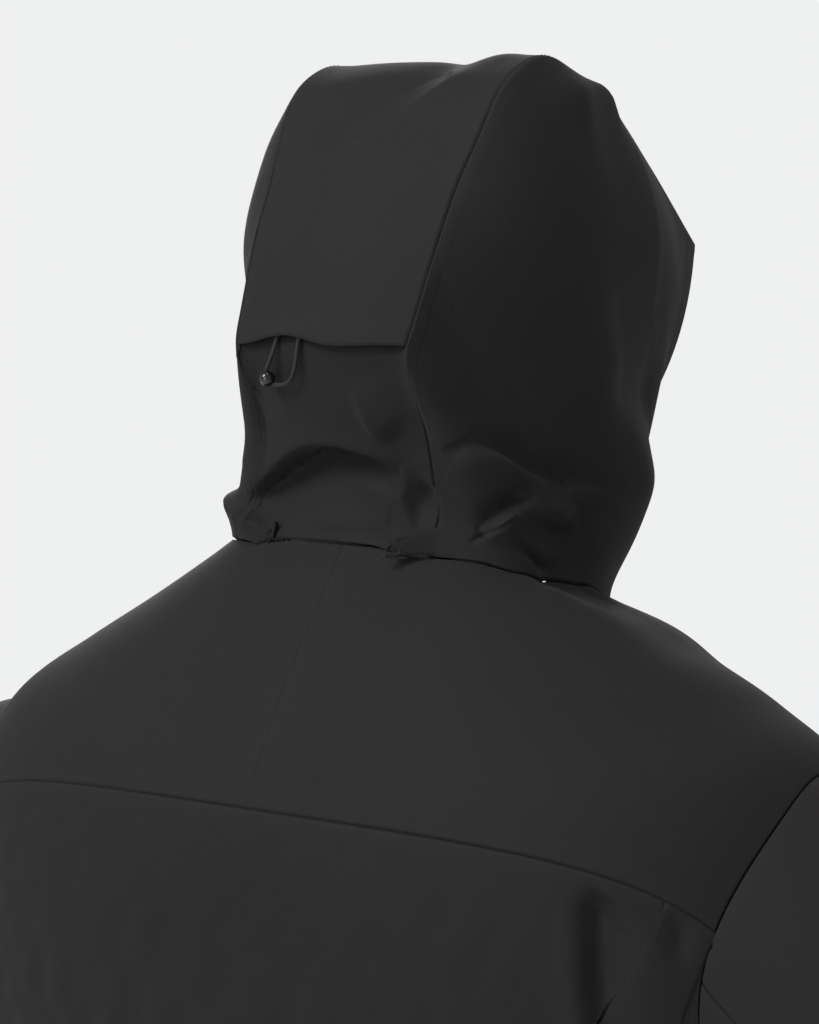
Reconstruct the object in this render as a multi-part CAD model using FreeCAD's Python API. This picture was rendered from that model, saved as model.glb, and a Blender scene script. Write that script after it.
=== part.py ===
import FreeCAD, Part
import math
import os

# Hardshell jacket with its hood up, standing as if worn.  All sizes are millimetres.
# +X is the wearer's left, -Y is the front and +Z is up.  The origin is the centre of
# the neck opening, level with the hood seam at the nape.
# Every cloth piece is a thin closed shell cut from one of four base surfaces: the torso,
# a sleeve, the hood's centre strip and the hood's side.  Left-hand pieces are mirrored.

# ---- driving dimensions ----
FABRIC = 1.6            # thickness of a cloth shell
HEM_FABRIC = 3.2        # folded hem and cuff
BACK_LENGTH = 745.0     # nape seam to the hem at the back
ZIP_TOP = (-104.0, 42.0)        # y, z of the top of the front opening
ZIP_FOOT = (-122.0, -715.0)     # y, z of its foot at the hem
ZIP_GAP = 6.0           # half the width between the two front edges
CORD_D = 2.2            # elastic adjuster cord
BEAD_D = 8.0            # round end bead on that cord
ADJUSTER_TRAVEL = 7.0   # how far the cord can be drawn out
SEAM_INSET = 0.0035     # share of a panel left clear along each seam

# Zips: width and length of each slider, and of its puller
MAIN_SLIDER, MAIN_PULLER = (10.0, 16.0), (8.0, 36.0)
POCKET_SLIDER, POCKET_PULLER = (8.0, 13.0), (7.0, 30.0)
BAIL, BAIL_GAP, BAIL_SHARE = 0.9, 2.2, 0.3
COIL_HALF, TAPE_HALF = 2.4, 5.6
ZIP_HEAD, ZIP_END = 38.0, -706.0    # z of the two ends of the main coil
ZIP_CHEST = -110.0                  # z where the wide inner flap gives way to the chin guard
SLIDER_START = 14.0                 # main slider below the coil's head when closed
POCKET_START, POCKET_LIFT = 10.0, 2.6
TAB_START, TAB_END = 0.05, 0.26     # cuff tab, shares of the cuff's girth
TAB_TOP, TAB_FOOT = 0.947, 0.987     # its edges, positions along the sleeve
HANGER_R, HANGER_Y, HANGER_Z = 20.0, 64.0, -6.0
EYELET_R, EYELET_BORE, EYELET_DEPTH = 3.6, 1.6, 1.2
EYELET_Y = (-34.0, 52.0)             # one in front of and one behind each side
EYELET_RING, EYELET_PROUD = 9.82, 1.9

# Torso rings: position, half width, back y, front z, back z, side z, then the roundness
# of the front half and of the back half
TORSO = [
    (0.0, 113, 74, -66, 0, -17, 1.9, 2.8),
    (1.0, 156, 104, -88, -38, -38, 2.0, 2.3),
    (2.0, 203, 132, -114, -82, -63, 2.1, 2.15),
    (3.0, 247, 151, -148, -124, -91, 2.2, 2.2),
    (4.0, 271, 163, -190, -175, -142, 2.3, 2.3),
    (5.0, 275, 170, -245, -240, -225, 2.35, 2.35),
    (6.0, 262, 170, -325, -322, -325, 2.35, 2.35),
    (7.0, 250, 160, -430, -430, -430, 2.3, 2.3),
    (8.0, 243, 146, -570, -570, -570, 2.3, 2.3),
    (9.0, 247, 146, -680, -690, -684, 2.3, 2.3),
    (10.0, 248, 146, -715, -BACK_LENGTH, -725, 2.3, 2.3),
]
# Hood seam line from brim to nape: position, y, z, half width, crown of the strip
HOOD = [
    (0.000, -146, 149, 60, 10),
    (0.134, -99, 191, 62, 8),
    (0.249, -58, 223, 64, 4),
    (0.314, -30, 233, 65, 0),
    (0.366, -8, 243, 66, -1),
    (0.405, 10, 242, 66, -1),
    (0.457, 31, 230, 65, 1),
    (0.530, 48, 202, 62, 4),
    (0.584, 60, 180, 59, 6),
    (0.656, 75, 150, 58, 8),
    (0.732, 88, 118, 56, 8),
    (0.773, 93.4, 100, 54, 8),
    (0.814, 86.5, 82, 53.5, 7),
    (0.864, 75, 62, 52.5, 6),
    (0.924, 68, 34, 52, 4),
    (0.970, 64.5, 14, 51.5, 4),
    (1.000, 72, 1, 51, 3),
]
# Middle of each rib of the hood's side: position, x, y, z
HOOD_RIB = [
    (0.000, 74, -84, 68),
    (0.134, 90, -74, 82),
    (0.249, 101, -52, 87),
    (0.366, 109, -26, 92),
    (0.457, 112, -4, 95),
    (0.530, 107, 18, 95),
    (0.600, 96, 38, 88),
    (0.680, 80, 57, 78),
    (0.773, 71, 73, 62),
    (0.864, 66, 67, 36),
    (0.930, 61, 64.5, 18),
    (1.000, 50.5, 71, 0.5),
]
# Sleeve rings: position, centre x, y, z, tilt in degrees, half height, half depth
SLEEVE = [
    (0.00, 252, 26, -206, 88, 117, 88),
    (0.05, 283, 25, -222, 81, 111, 87),
    (0.12, 311, 24, -245, 69, 107, 86),
    (0.25, 338, 22, -289, 50, 96, 82),
    (0.40, 354, 17, -374, 27, 79, 75),
    (0.56, 373, 7, -463, 13, 66, 67),
    (0.76, 392, -18, -575, 9, 57, 58),
    (0.92, 404, -46, -676, 7, 48, 49),
    (1.00, 408, -58, -716, 6, 44, 45),
]
# Back side seam: torso position, share of the girth from the centre back
BACK_SEAM = [(3.8, 0.147), (4.56, 0.119), (5.3, 0.106), (6.5, 0.102), (8.0, 0.108), (10.0, 0.115)]
ARMHOLE_TOP, ARMHOLE_FOOT = 3.03, 6.0
ARMHOLE_DEPTH = 38.0    # how far the armhole seam cuts in from the torso's side
HEM_TOP = 9.63          # torso position of the hem band's upper seam
FRONT_SEAM = 0.165      # torso share of the yoke's front seam
SIDE_SEAM = 0.215       # torso share of the front side seam
FLAP_EDGE = 0.773       # hood position of the free edge at the back of the head
BRIM_SEAM = 0.105       # hood position of the brim's seam
CHIN = (ZIP_GAP, ZIP_TOP[0], ZIP_TOP[1])
CHIN_SHARE = 0.22       # share of the hood's lower edge that runs down the zip
RING_START, RING_END = 0.006, 0.448  # torso shares where the hood side meets the neck
HINGE_Y = 75.0          # y of the nape line that the hood tilts about, at z = 0
COLLAR_BACK_Z, COLLAR_SLOPE = 3.0, 0.24     # plane between hood and collar, seen from the side
COLLAR_GAP = 0.008      # rib share left clear on each side of that plane
ARM_BLEND = 0.12        # sleeve position where the armhole has become a plain ring
CUFF_START = 0.935      # sleeve position of the cuff's seam

# Adjuster cord: a loop that hangs out from under the flap at the back of the hood
CORD_ROUTE = [
    (24.6, 88.2, 125.0),
    (24.9, 92.6, 113.0),
    (25.7, 95.8, 103.5),
    (29.3, 95.6, 95.0),
    (33.6, 94.4, 89.0),
    (31.5, 93.8, 83.6),
    (25.0, 93.2, 82.0),
    (17.5, 94.2, 84.6),
    (12.6, 96.2, 92.2),
    (10.4, 97.6, 100.5),
    (9.9, 95.2, 112.0),
    (9.6, 89.6, 125.0),
]
BEAD_AT = (32.3, 94.4, 85.4)
ADJUSTER_AXIS = (0.0, 0.28, -0.96)


# ---- small helpers ----
def cubic(table, v):
    """A smooth curve through the rows (position, values...) of a table."""
    i = 0
    while i < len(table) - 2 and v > table[i + 1][0]:
        i += 1
    a, b = table[i], table[i + 1]
    before = table[i - 1] if i > 0 else None
    after = table[i + 2] if i + 2 < len(table) else None
    h = b[0] - a[0]
    u = (v - a[0]) / h
    out = []
    for k in range(1, len(a)):
        m0 = (b[k] - before[k]) / (b[0] - before[0]) if before else (b[k] - a[k]) / h
        m1 = (after[k] - a[k]) / (after[0] - a[0]) if after else (b[k] - a[k]) / h
        rise = (2 * u**3 - 3 * u**2 + 1) * a[k] + (3 * u**2 - 2 * u**3) * b[k]
        out.append(rise + (u**3 - 2 * u**2 + u) * h * m0 + (u**3 - u**2) * h * m1)
    return out


def mix(a, b, k):
    return a + (b - a) * k


def smooth(k):
    k = min(1.0, max(0.0, k))
    return k * k * (3 - 2 * k)


def vec(p):
    return FreeCAD.Vector(*p)


def root(value, power):
    return math.copysign(abs(value) ** power, value)


# ---- base surfaces ----
def zip_y(z):
    """The front opening is one straight line, so its slider can run along it."""
    return mix(ZIP_TOP[0], ZIP_FOOT[0], (z - ZIP_TOP[1]) / (ZIP_FOOT[1] - ZIP_TOP[1]))


def torso(t, v):
    """t runs round from the centre front (0) over the left side (0.25) to the back (0.5)."""
    a, back_y, front_z, back_z, side_z, front_n, back_n = cubic(TORSO, v)
    front_y = zip_y(front_z)
    s, c = math.sin(2 * math.pi * t), math.cos(2 * math.pi * t)
    n = front_n if c > 0 else back_n
    x = a * root(s, 2 / n)
    y = (front_y + back_y) / 2 - (back_y - front_y) / 2 * root(c, 2 / n)
    lift = (front_z + back_z) / 4 - side_z / 2
    z = side_z + lift - (back_z - front_z) / 2 * c + lift * (2 * c * c - 1)
    return (x, y, z)


def share_at(x, v):
    """The torso share t, between centre front and side, where the ring v has this x."""
    ring = cubic(TORSO, v)
    return math.asin(min(1.0, (x / ring[0]) ** (ring[5] / 2))) / (2 * math.pi)


def armhole(c):
    """Torso (t, v) on the armhole seam: c is 0 on the shoulder, 0.25 at the back."""
    u = (1 - math.cos(2 * math.pi * c)) / 2
    v = mix(ARMHOLE_TOP, ARMHOLE_FOOT, u)
    bow = math.sin(math.pi * u)
    x = cubic(TORSO, v)[0] - ARMHOLE_DEPTH * bow * (0.35 + 0.65 * bow)
    t = share_at(x, v)
    return (0.5 - t if math.sin(2 * math.pi * c) > 0 else t, v)


def sleeve(c, w):
    """c runs round from the outer side (0) over the back (0.25); w from armhole to cuff."""
    cx, cy, cz, tilt, height, depth = cubic(SLEEVE, w)
    tilt = math.radians(tilt)
    along, across = height * math.cos(2 * math.pi * c), depth * math.sin(2 * math.pi * c)
    ring = (cx + along * math.cos(tilt), cy + across, cz + along * math.sin(tilt))
    if w >= ARM_BLEND:
        return ring
    k = 1 - (1 - w / ARM_BLEND) ** 2
    start = torso(*armhole(c))
    return tuple(mix(start[i], ring[i], k) for i in range(3))


def hood_strip(s, q):
    """Centre strip of the hood: s from brim to nape, q from -1 to 1 across."""
    y, z, w, crown = cubic(HOOD, s)
    step = 0.001
    y0, z0 = cubic(HOOD, max(0.0, s - step))[:2]
    y1, z1 = cubic(HOOD, min(1.0, s + step))[:2]
    length = math.hypot(y1 - y0, z1 - z0)
    out = crown * (1 - q * q) / length
    return (w * q, y - out * (z1 - z0), z + out * (y1 - y0))


def hood_low(m):
    """Lower edge of the hood's side: down the zip, then round the neck seam."""
    if m < CHIN_SHARE:
        start, end, u = CHIN, torso(RING_START, 0.0), m / CHIN_SHARE
        return tuple(mix(start[i], end[i], u) for i in range(3))
    u = (m - CHIN_SHARE) / (1 - CHIN_SHARE)
    return torso(mix(RING_START, RING_END, u), 0.0)


def hood_side(s, r):
    """Left side of the hood: r runs from the hood seam (0) to the lower edge (1)."""
    y, z, w, crown = cubic(HOOD, s)
    top, low, middle = (w, y, z), hood_low(s), cubic(HOOD_RIB, s)
    bulge = 4 * r * (1 - r)
    fuller = 0.35 * (1 - smooth((s - 0.55) / 0.2))
    full = 1 + fuller * (1 - 2 * r) ** 2 if r < 0.5 else 1.0
    swell = (bulge * full, bulge * full, bulge)
    return tuple(mix(top[i], low[i], r) + (middle[i] - (top[i] + low[i]) / 2) * swell[i]
                 for i in range(3))


# ---- closed shells on a base surface ----
def lifted(surface, a, b, height):
    """A point of the surface moved along its outward normal."""
    name, sign = surface
    step = 0.0005
    p = vec(name(a, b))
    du = vec(name(a + step, b)) - vec(name(a - step, b))
    dv = vec(name(a, b + step)) - vec(name(a, b - step))
    normal = du.cross(dv)
    normal.normalize()
    return p + normal * (sign * height)


BODY = (torso, -1)
ARM = (sleeve, -1)
STRIP = (hood_strip, -1)
SIDE = (hood_side, -1)


def closed_shell(outer, inner):
    """A solid between two point grids of the same size, with ruled edges."""
    faces, rims = [], []
    for grid in (outer, inner):
        surface = Part.BSplineSurface()
        surface.interpolate(grid)
        faces.append(surface.toShape())
        u0, u1, v0, v1 = surface.bounds()
        rims.append([surface.uIso(u0), surface.uIso(u1), surface.vIso(v0), surface.vIso(v1)])
    for a, b in zip(*rims):
        faces.append(Part.makeRuledSurface(a.toShape(), b.toShape(), 1))
    skin = Part.Compound(faces)
    skin.sewShape(0.002)
    solid = Part.Solid(skin.Shells[0])
    if solid.Volume < 0:
        solid.reverse()
    return solid


def panel(surface, place, rows, columns, outer=0.0, inner=-FABRIC, inset=SEAM_INSET):
    """A thin closed shell; place(p, q) gives the surface's own coordinates.

    outer and inner are heights over the surface, as numbers or as functions of (p, q).
    """
    def height(h, p, q):
        return h(p, q) if callable(h) else h

    grids = []
    for h in (outer, inner):
        grid = []
        for i in range(rows):
            p = mix(inset, 1 - inset, i / (rows - 1))
            row = []
            for j in range(columns):
                q = mix(inset, 1 - inset, j / (columns - 1))
                row.append(lifted(surface, *place(p, q), height(h, p, q)))
            grid.append(row)
        grids.append(grid)
    return closed_shell(*grids)


def mirrored(shape):
    return shape.mirror(vec((0, 0, 0)), vec((1, 0, 0)))


def box(low, high):
    size = [high[i] - low[i] for i in range(3)]
    return Part.makeBox(size[0], size[1], size[2], vec(low))


NODES = {}


def pair(name, shape):
    NODES[name + "_left"] = shape
    NODES[name + "_right"] = mirrored(shape)


# ---- torso panels ----
def yoke_seam(d):
    """Torso position of the yoke's lower seam, d being the share from the centre back."""
    return 2.88 + 43.2 * d * d


YOKE_CORNER = 0.168     # share from the centre back where that seam meets the armhole
ARMHOLE_CORNER = 0.207  # armhole position of the same corner
SHOULDER_FRONT = -0.13  # armhole position where the yoke's front seam ends
YOKE_CLEAR = 0.008      # share left clear beside that seam


def yoke_place(p, q):
    """p runs from the centre back round to the front seam, q from the neck outwards."""
    split = 0.62
    if p < split:
        d = YOKE_CORNER * p / split
        low = (0.5 - d, yoke_seam(d))
    else:
        end = SHOULDER_FRONT + YOKE_CLEAR
        low = armhole(mix(ARMHOLE_CORNER, end, (p - split) / (1 - split)))
    t = mix(0.5, FRONT_SEAM + YOKE_CLEAR, p)
    return (mix(t, low[0], q), low[1] * q)


def back_place(p, q):
    d0 = cubic(BACK_SEAM, 3.8)[0]
    top = yoke_seam(d0 * abs(2 * p - 1))
    v = mix(top, HEM_TOP, q)
    d = cubic(BACK_SEAM, max(3.8, v))[0] if q > 0 else d0
    d = mix(d0, d, smooth(q * 8))
    return (0.5 + d * (2 * p - 1), v)


def side_edge(p):
    """Upper edge of the side panel: along the yoke seam, then down the armhole."""
    d0 = cubic(BACK_SEAM, 3.8)[0]
    if p < 0.12:
        d = mix(d0, YOKE_CORNER, p / 0.12)
        return (0.5 - d, yoke_seam(d))
    return armhole(mix(ARMHOLE_CORNER, 0.5, (p - 0.12) / 0.88))


def side_low(p, v):
    """Torso share between the back side seam (p = 0) and the front side seam (p = 1)."""
    back = 0.5 - cubic(BACK_SEAM, max(3.8, v))[0]
    front = mix(0.25, SIDE_SEAM, smooth((v - ARMHOLE_FOOT) / 2))
    return mix(back, front, p)


def side_place(p, q):
    top = side_edge(p)
    v = mix(top[1], HEM_TOP, q)
    shift = top[0] - side_low(p, top[1])
    return (side_low(p, v) + shift * (1 - smooth(q * 1.6)), v)


def front_edge(q):
    """Outer edge of the front panel: yoke seam, armhole, then the side seam."""
    neck, shoulder, underarm = 0.14, 0.42, 1.0
    if q < neck:
        corner = armhole(SHOULDER_FRONT)
        k = q / neck
        return (mix(FRONT_SEAM, corner[0], k), corner[1] * k)
    if q < shoulder:
        return armhole(mix(SHOULDER_FRONT, -0.5 + 0.0001, (q - neck) / (shoulder - neck)))
    k = (q - shoulder) / (underarm - shoulder)
    v = mix(ARMHOLE_FOOT, HEM_TOP, k)
    return (mix(0.25, SIDE_SEAM, smooth((v - ARMHOLE_FOOT) / 2)), v)


def front_place(p, q):
    edge = front_edge(q)
    v = mix(HEM_TOP * q, edge[1], smooth(p))
    return (mix(share_at(ZIP_GAP, v), edge[0], p), v)


def hem_place(p, q):
    v = mix(HEM_TOP, 10.0, q)
    start = share_at(2 * ZIP_GAP, v)
    return (mix(start, 1 - start, p), v)


def make_torso():
    pair("yoke", panel(BODY, yoke_place, 20, 9))
    NODES["back_panel"] = panel(BODY, back_place, 15, 14)
    pair("side_panel", panel(BODY, side_place, 16, 12))
    pair("front_panel", panel(BODY, front_place, 13, 22))
    NODES["hem_band"] = panel(BODY, hem_place, 60, 4, inner=-HEM_FABRIC, inset=0.001)


# ---- sleeves ----
def back_arm_seam(w):
    return mix(0.234, 0.31, smooth(w / 0.5))


def upper_place(p, q):
    w = mix(0.0, CUFF_START, q)
    return (mix(-back_arm_seam(w), back_arm_seam(w), p), w)


def under_place(p, q):
    w = mix(0.0, CUFF_START, q)
    return (mix(back_arm_seam(w), 1 - back_arm_seam(w), p), w)


def cuff_ring(w, shrink):
    """A closed ring of the sleeve as an ellipse."""
    cx, cy, cz, tilt, height, depth = cubic(SLEEVE, w)
    tilt = math.radians(tilt)
    normal = vec((math.sin(tilt), 0, -math.cos(tilt)))
    upright = vec((math.cos(tilt), 0, math.sin(tilt)))
    major, minor = depth - shrink, height - shrink
    ring = Part.Ellipse(vec((0, 0, 0)), major, minor)
    ring = ring.toShape()
    place = FreeCAD.Placement()
    place.Base = vec((cx, cy, cz))
    place.Rotation = FreeCAD.Rotation(vec((0, 1, 0)), upright, normal, "ZXY")
    ring.Placement = place
    return Part.Wire([ring])


def make_sleeves():
    pair("upper_sleeve", panel(ARM, upper_place, 18, 20))
    pair("under_sleeve", panel(ARM, under_place, 16, 20))
    rings = [mix(CUFF_START + 0.002, 1.0, k) for k in (0.0, 0.5, 1.0)]
    outer = Part.makeLoft([cuff_ring(w, 0.0) for w in rings], True)
    inner = Part.makeLoft([cuff_ring(w, HEM_FABRIC) for w in rings], True)
    pair("cuff", outer.cut(inner))


# ---- hood ----
def strip_place(start, end, width=1.0):
    def place(p, q):
        return (mix(start, end, p), mix(-width, width, q))
    return place


def nape_height(p, q):
    """The nape panel dives under the flap at its top."""
    s = mix(0.705, 1.0, p)
    return -8.4 + 2.8 * smooth((s - 0.72) / 0.045) + 5.6 * smooth((s - 0.785) / 0.06)


def collar_line(s):
    """Rib position where the hood's side meets the collar.

    That line lies in a plane through the nape, so the hood can tilt back on the collar.
    """
    low, high = 0.0, 1.0
    for _ in range(30):
        r = (low + high) / 2
        x, y, z = hood_side(s, r)
        above = z > COLLAR_BACK_Z + COLLAR_SLOPE * (HINGE_Y - y)
        low, high = (r, high) if above else (low, r)
    return low


def hood_side_place(p, q):
    s = mix(0.0, 0.94, p)
    return (s, q * (collar_line(s) - COLLAR_GAP))


def collar_place(p, q):
    s = mix(0.0, 0.93, p)
    return (s, mix(collar_line(s) + COLLAR_GAP, 1.0, q))


def make_hood():
    NODES["hood_brim"] = panel(STRIP, strip_place(0.0, BRIM_SEAM), 6, 9, inset=0.01)
    NODES["brim_stiffener"] = panel(STRIP, strip_place(0.012, 0.092, 0.9), 6, 9, -2.0, -3.4)
    NODES["hood_centre_panel"] = panel(STRIP, strip_place(BRIM_SEAM, FLAP_EDGE, 0.99), 24, 9)
    NODES["hood_nape_panel"] = panel(STRIP, strip_place(0.705, 0.995, 0.97), 20, 9, nape_height,
                                     lambda p, q: nape_height(p, q) - FABRIC)
    pair("hood_side", panel(SIDE, hood_side_place, 30, 12, inset=0.008))
    pair("collar", panel(SIDE, collar_place, 30, 7, inset=0.008))


def binding_place(p, q):
    s = mix(0.0, 0.022, p)
    return (s, mix(0.02, collar_line(s) - 0.03, q))


def lining_place(p, q):
    s = mix(0.03, 0.35, p)
    return (s, mix(collar_line(s) + 0.04, 0.92, q))


def make_hood_details():
    pair("face_binding", panel(SIDE, binding_place, 4, 16, -2.1, -3.7))
    pair("inner_collar", panel(SIDE, lining_place, 10, 6, -4.2, -5.4))
    ring = Part.makeCylinder(HANGER_R, 1.2, vec((0, HANGER_Y, HANGER_Z)), vec((0, 1, 0)))
    hole = Part.makeCylinder(HANGER_R - 5, 1.2, vec((0, HANGER_Y, HANGER_Z)), vec((0, 1, 0)))
    upper = box((-HANGER_R, HANGER_Y, HANGER_Z), (HANGER_R, HANGER_Y + 2, HANGER_Z + HANGER_R))
    NODES["hanger_loop"] = ring.cut(hole).cut(upper)


# ---- adjuster cord, its lock and its bead ----
def cord_tube(points, diameter):
    """Straight runs joined by tangent arcs, each as large as its two runs allow."""
    p = [vec(q) for q in points]
    edges, start = [], p[0]
    for i in range(1, len(p) - 1):
        a, b = p[i - 1] - p[i], p[i + 1] - p[i]
        shorter = min(a.Length, b.Length)
        a.normalize()
        b.normalize()
        turn = math.pi - a.getAngle(b)
        reach = 0.45 * shorter
        radius = reach / math.tan(turn / 2)
        bisector = a + b
        bisector.normalize()
        centre = p[i] + bisector * (radius / math.cos(turn / 2))
        middle = centre - bisector * radius
        enter, leave = p[i] + a * reach, p[i] + b * reach
        print("cord bend", i, "radius", round(radius, 1))
        edges.append(Part.LineSegment(start, enter).toShape())
        edges.append(Part.Arc(enter, middle, leave).toShape())
        start = leave
    edges.append(Part.LineSegment(start, p[-1]).toShape())
    path = Part.Wire(edges)
    ring = Part.Wire([Part.makeCircle(diameter / 2, p[0], p[1] - p[0])])
    tube = path.makePipeShell([ring], True, True)
    section = math.pi * diameter ** 2 / 4
    print("cord length", round(path.Length, 1), "volume ratio",
          round(tube.Volume / (section * path.Length), 4))
    return tube


def lock_place(p, q):
    return (mix(0.692, 0.713, p), mix(0.08, 0.54, q))


def make_adjuster():
    NODES["hood_adjuster_cord"] = cord_tube(CORD_ROUTE, CORD_D)
    NODES["hood_adjuster_bead"] = Part.makeSphere(BEAD_D / 2, vec(BEAD_AT))
    NODES["hood_cord_lock"] = panel(STRIP, lock_place, 4, 5, -2.3, -5.8)


# ---- zips: drawn upright at the origin with the outside towards -Y, then placed ----
def zip_bar(half, near, far, length):
    """A straight strip behind the zip line, from its top at z = 0 down."""
    return box((-half, near, -length), (half, far, 0))


def make_slider(width, length):
    """A plate with a bail: a bridge on two legs, which the puller's bar passes under."""
    back, front = -0.2, -2.4
    plate = box((-width / 2, front, -length / 2), (width / 2, back, length / 2))
    upright = [e for e in plate.Edges if abs(e.tangentAt(e.FirstParameter).y) > 0.9]
    plate = plate.makeFillet(width * 0.3, upright)
    reach = length * BAIL_SHARE
    top = front - BAIL_GAP - BAIL
    legs = [box((-1.3, top, z), (1.3, front + 0.2, z + BAIL)) for z in (-reach, reach - BAIL)]
    bridge = box((-1.3, top, -reach), (1.3, top + BAIL, reach))
    return plate.fuse(legs + [bridge]).removeSplitter()


def puller_axis(length):
    """y and z of the puller's bar, for a slider of this length at the origin."""
    return (-2.4 - BAIL_GAP / 2, length * BAIL_SHARE - BAIL - 1.1)


def make_puller(width, reach, slider_length):
    """A moulded tab with a window at its top; the window's top bar turns in the bail."""
    y, z = puller_axis(slider_length)
    window = z + slider_length * BAIL_SHARE + 2.6
    front = y - 1.8
    bar = Part.makeCylinder(0.7, width - 0.6, vec((-width / 2 + 0.3, y, z)), vec((1, 0, 0)))
    rails = [box((x, front, z - window - 0.5), (x + 1.2, y + 0.4, z + 0.7))
             for x in (-width / 2, width / 2 - 1.2)]
    tab = box((-width / 2, front, z - reach), (width / 2, y + 0.4, z - window))
    corners = [e for e in tab.Edges if abs(e.tangentAt(e.FirstParameter).y) > 0.9
               and e.CenterOfMass.z < z - reach + 1]
    tab = tab.makeFillet(width * 0.4, corners)
    return tab.fuse(rails + [bar]).removeSplitter()


def placed(shape, top, foot, normal):
    """Move a part drawn upright at the origin to the line from top to foot."""
    up = vec(top) - vec(foot)
    up.normalize()
    outward = vec(normal)
    outward = outward - up * outward.dot(up)
    outward.normalize()
    across = outward.cross(up) * -1
    onto_zip = FreeCAD.Placement(
        vec(top), FreeCAD.Rotation(across, outward * -1, up, "ZYX"))
    moved = shape.copy()
    moved.Placement = onto_zip.multiply(shape.Placement)
    return moved


def pocket_line(x0, z0, x1, z1):
    """Top, foot and outward normal of a straight zip lying on the front panel."""
    ends = []
    for x, z in ((x0, z0), (x1, z1)):
        low, high = 2.0, 10.0
        for _ in range(40):
            v = (low + high) / 2
            low, high = (v, high) if torso(share_at(x, v), v)[2] > z else (low, v)
        ends.append((share_at(x, v), v))
    t, v = [(ends[0][i] + ends[1][i]) / 2 for i in range(2)]
    normal = lifted(BODY, t, v, 1.0) - lifted(BODY, t, v, 0.0)
    top, foot = [lifted(BODY, *end, POCKET_LIFT) for end in ends]
    return tuple(top), tuple(foot), tuple(normal)


HAND_POCKET = (150.0, -452.0, 128.0, -612.0)
CHEST_POCKET = (104.0, -206.0, 112.0, -338.0)


def pocket_zip(line):
    """Tape with its coil, slider and puller of one pocket."""
    top, foot, normal = pocket_line(*line)
    length = (vec(top) - vec(foot)).Length
    tape = zip_bar(6.0, 0.9, 1.7, length)
    coil = zip_bar(2.2, 0.2, 0.9, length - 4)
    coil.translate(vec((0, 0, -2)))
    slider = make_slider(POCKET_SLIDER[0], POCKET_SLIDER[1])
    puller = make_puller(POCKET_PULLER[0], POCKET_PULLER[1], POCKET_SLIDER[1])
    slider.translate(vec((0, -0.2, -POCKET_START)))
    puller.translate(vec((0, -0.2, -POCKET_START)))
    return [placed(piece, top, foot, normal)
            for piece in (tape.fuse(coil).removeSplitter(), slider, puller)]


def make_zips():
    top = (0.0, zip_y(ZIP_HEAD), ZIP_HEAD)
    foot = (0.0, zip_y(ZIP_END), ZIP_END)
    out = (0.0, -1.0, 0.0)
    length = ZIP_HEAD - ZIP_END
    tape = box((1.5, 2.4, -length - 6), (TAPE_HALF, 3.2, 0))
    pair("zip_tape", placed(tape, top, foot, out))
    coil = box((0.2, 0.4, -length), (COIL_HALF, 2.4, -2))
    pair("zip_coil", placed(coil, top, foot, out))
    stop = box((0.3, 0.2, -1.8), (2.6, 2.3, 1.2))
    stop = placed(stop, top, foot, out)
    NODES["zip_top_stops"] = Part.Compound([stop, mirrored(stop)])
    base = box((-4.5, -1.4, -length - 10), (4.5, 2.2, -length - 1))
    NODES["zip_bottom_box"] = placed(base, top, foot, out)
    flap = box((-4.0, 4.4, -length), (22.0, 5.6, ZIP_CHEST - ZIP_HEAD))
    NODES["storm_flap"] = placed(flap, top, foot, out)
    guard = box((-5.0, 4.4, ZIP_CHEST - ZIP_HEAD + 2), (5.0, 5.8, 0))
    NODES["chin_guard"] = placed(guard, top, foot, out)
    shift = vec((0, 0, -SLIDER_START))
    slider = make_slider(*MAIN_SLIDER)
    puller = make_puller(MAIN_PULLER[0], MAIN_PULLER[1], MAIN_SLIDER[1])
    slider.translate(shift)
    puller.translate(shift)
    NODES["main_slider"] = placed(slider, top, foot, out)
    NODES["main_puller"] = placed(puller, top, foot, out)
    for name, shape in zip(("pocket_zip", "pocket_slider", "pocket_puller"),
                           pocket_zip(HAND_POCKET)):
        pair(name, shape)
    for name, shape in zip(("chest_zip", "chest_slider", "chest_puller"),
                           pocket_zip(CHEST_POCKET)):
        NODES[name] = shape


def bag_place(p, q):
    v = mix(6.7, 9.3, q)
    return (mix(share_at(60, v), share_at(185, v), p), v)


def make_pocket_bags():
    pair("pocket_bag", panel(BODY, bag_place, 8, 10, -5.0, -6.4))


# ---- cuff tabs and hem eyelets ----
def arc_place(c0, c1, w0, w1):
    def place(p, q):
        return (mix(c0, c1, p), mix(w0, w1, q))
    return place


def make_cuff_tabs():
    tab = arc_place(TAB_START, TAB_END, TAB_TOP, TAB_FOOT)
    pair("cuff_tab", panel(ARM, tab, 12, 4, 3.8, 1.7, inset=0.0))
    anchor = arc_place(TAB_START - 0.022, TAB_START - 0.004, TAB_TOP, TAB_FOOT)
    pair("cuff_tab_anchor", panel(ARM, anchor, 4, 4, 3.8, 0.2, inset=0.0))
    hook = arc_place(TAB_START + 0.05, TAB_END + 0.10, TAB_TOP + 0.002, TAB_FOOT - 0.002)
    pair("cuff_loop_patch", panel(ARM, hook, 12, 4, 1.1, 0.2, inset=0.0))


def hem_side(y):
    """x and z where the hem ring crosses this y on the wearer's left."""
    low, high = 0.2, 0.3
    for _ in range(30):
        t = (low + high) / 2
        low, high = (t, high) if torso(t, EYELET_RING)[1] < y else (low, t)
    x, _, z = torso(t, EYELET_RING)
    return x + EYELET_PROUD, z


def make_hem_eyelets():
    eyelets = []
    for y in EYELET_Y:
        x, z = hem_side(y)
        ring = Part.makeCylinder(EYELET_R, EYELET_DEPTH, vec((x, y, z)), vec((1, 0, 0)))
        bore = Part.makeCylinder(EYELET_BORE, EYELET_DEPTH, vec((x, y, z)), vec((1, 0, 0)))
        eyelets.append(ring.cut(bore))
    eyelets += [mirrored(e) for e in eyelets]
    NODES["hem_eyelets"] = Part.Compound(eyelets)


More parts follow.
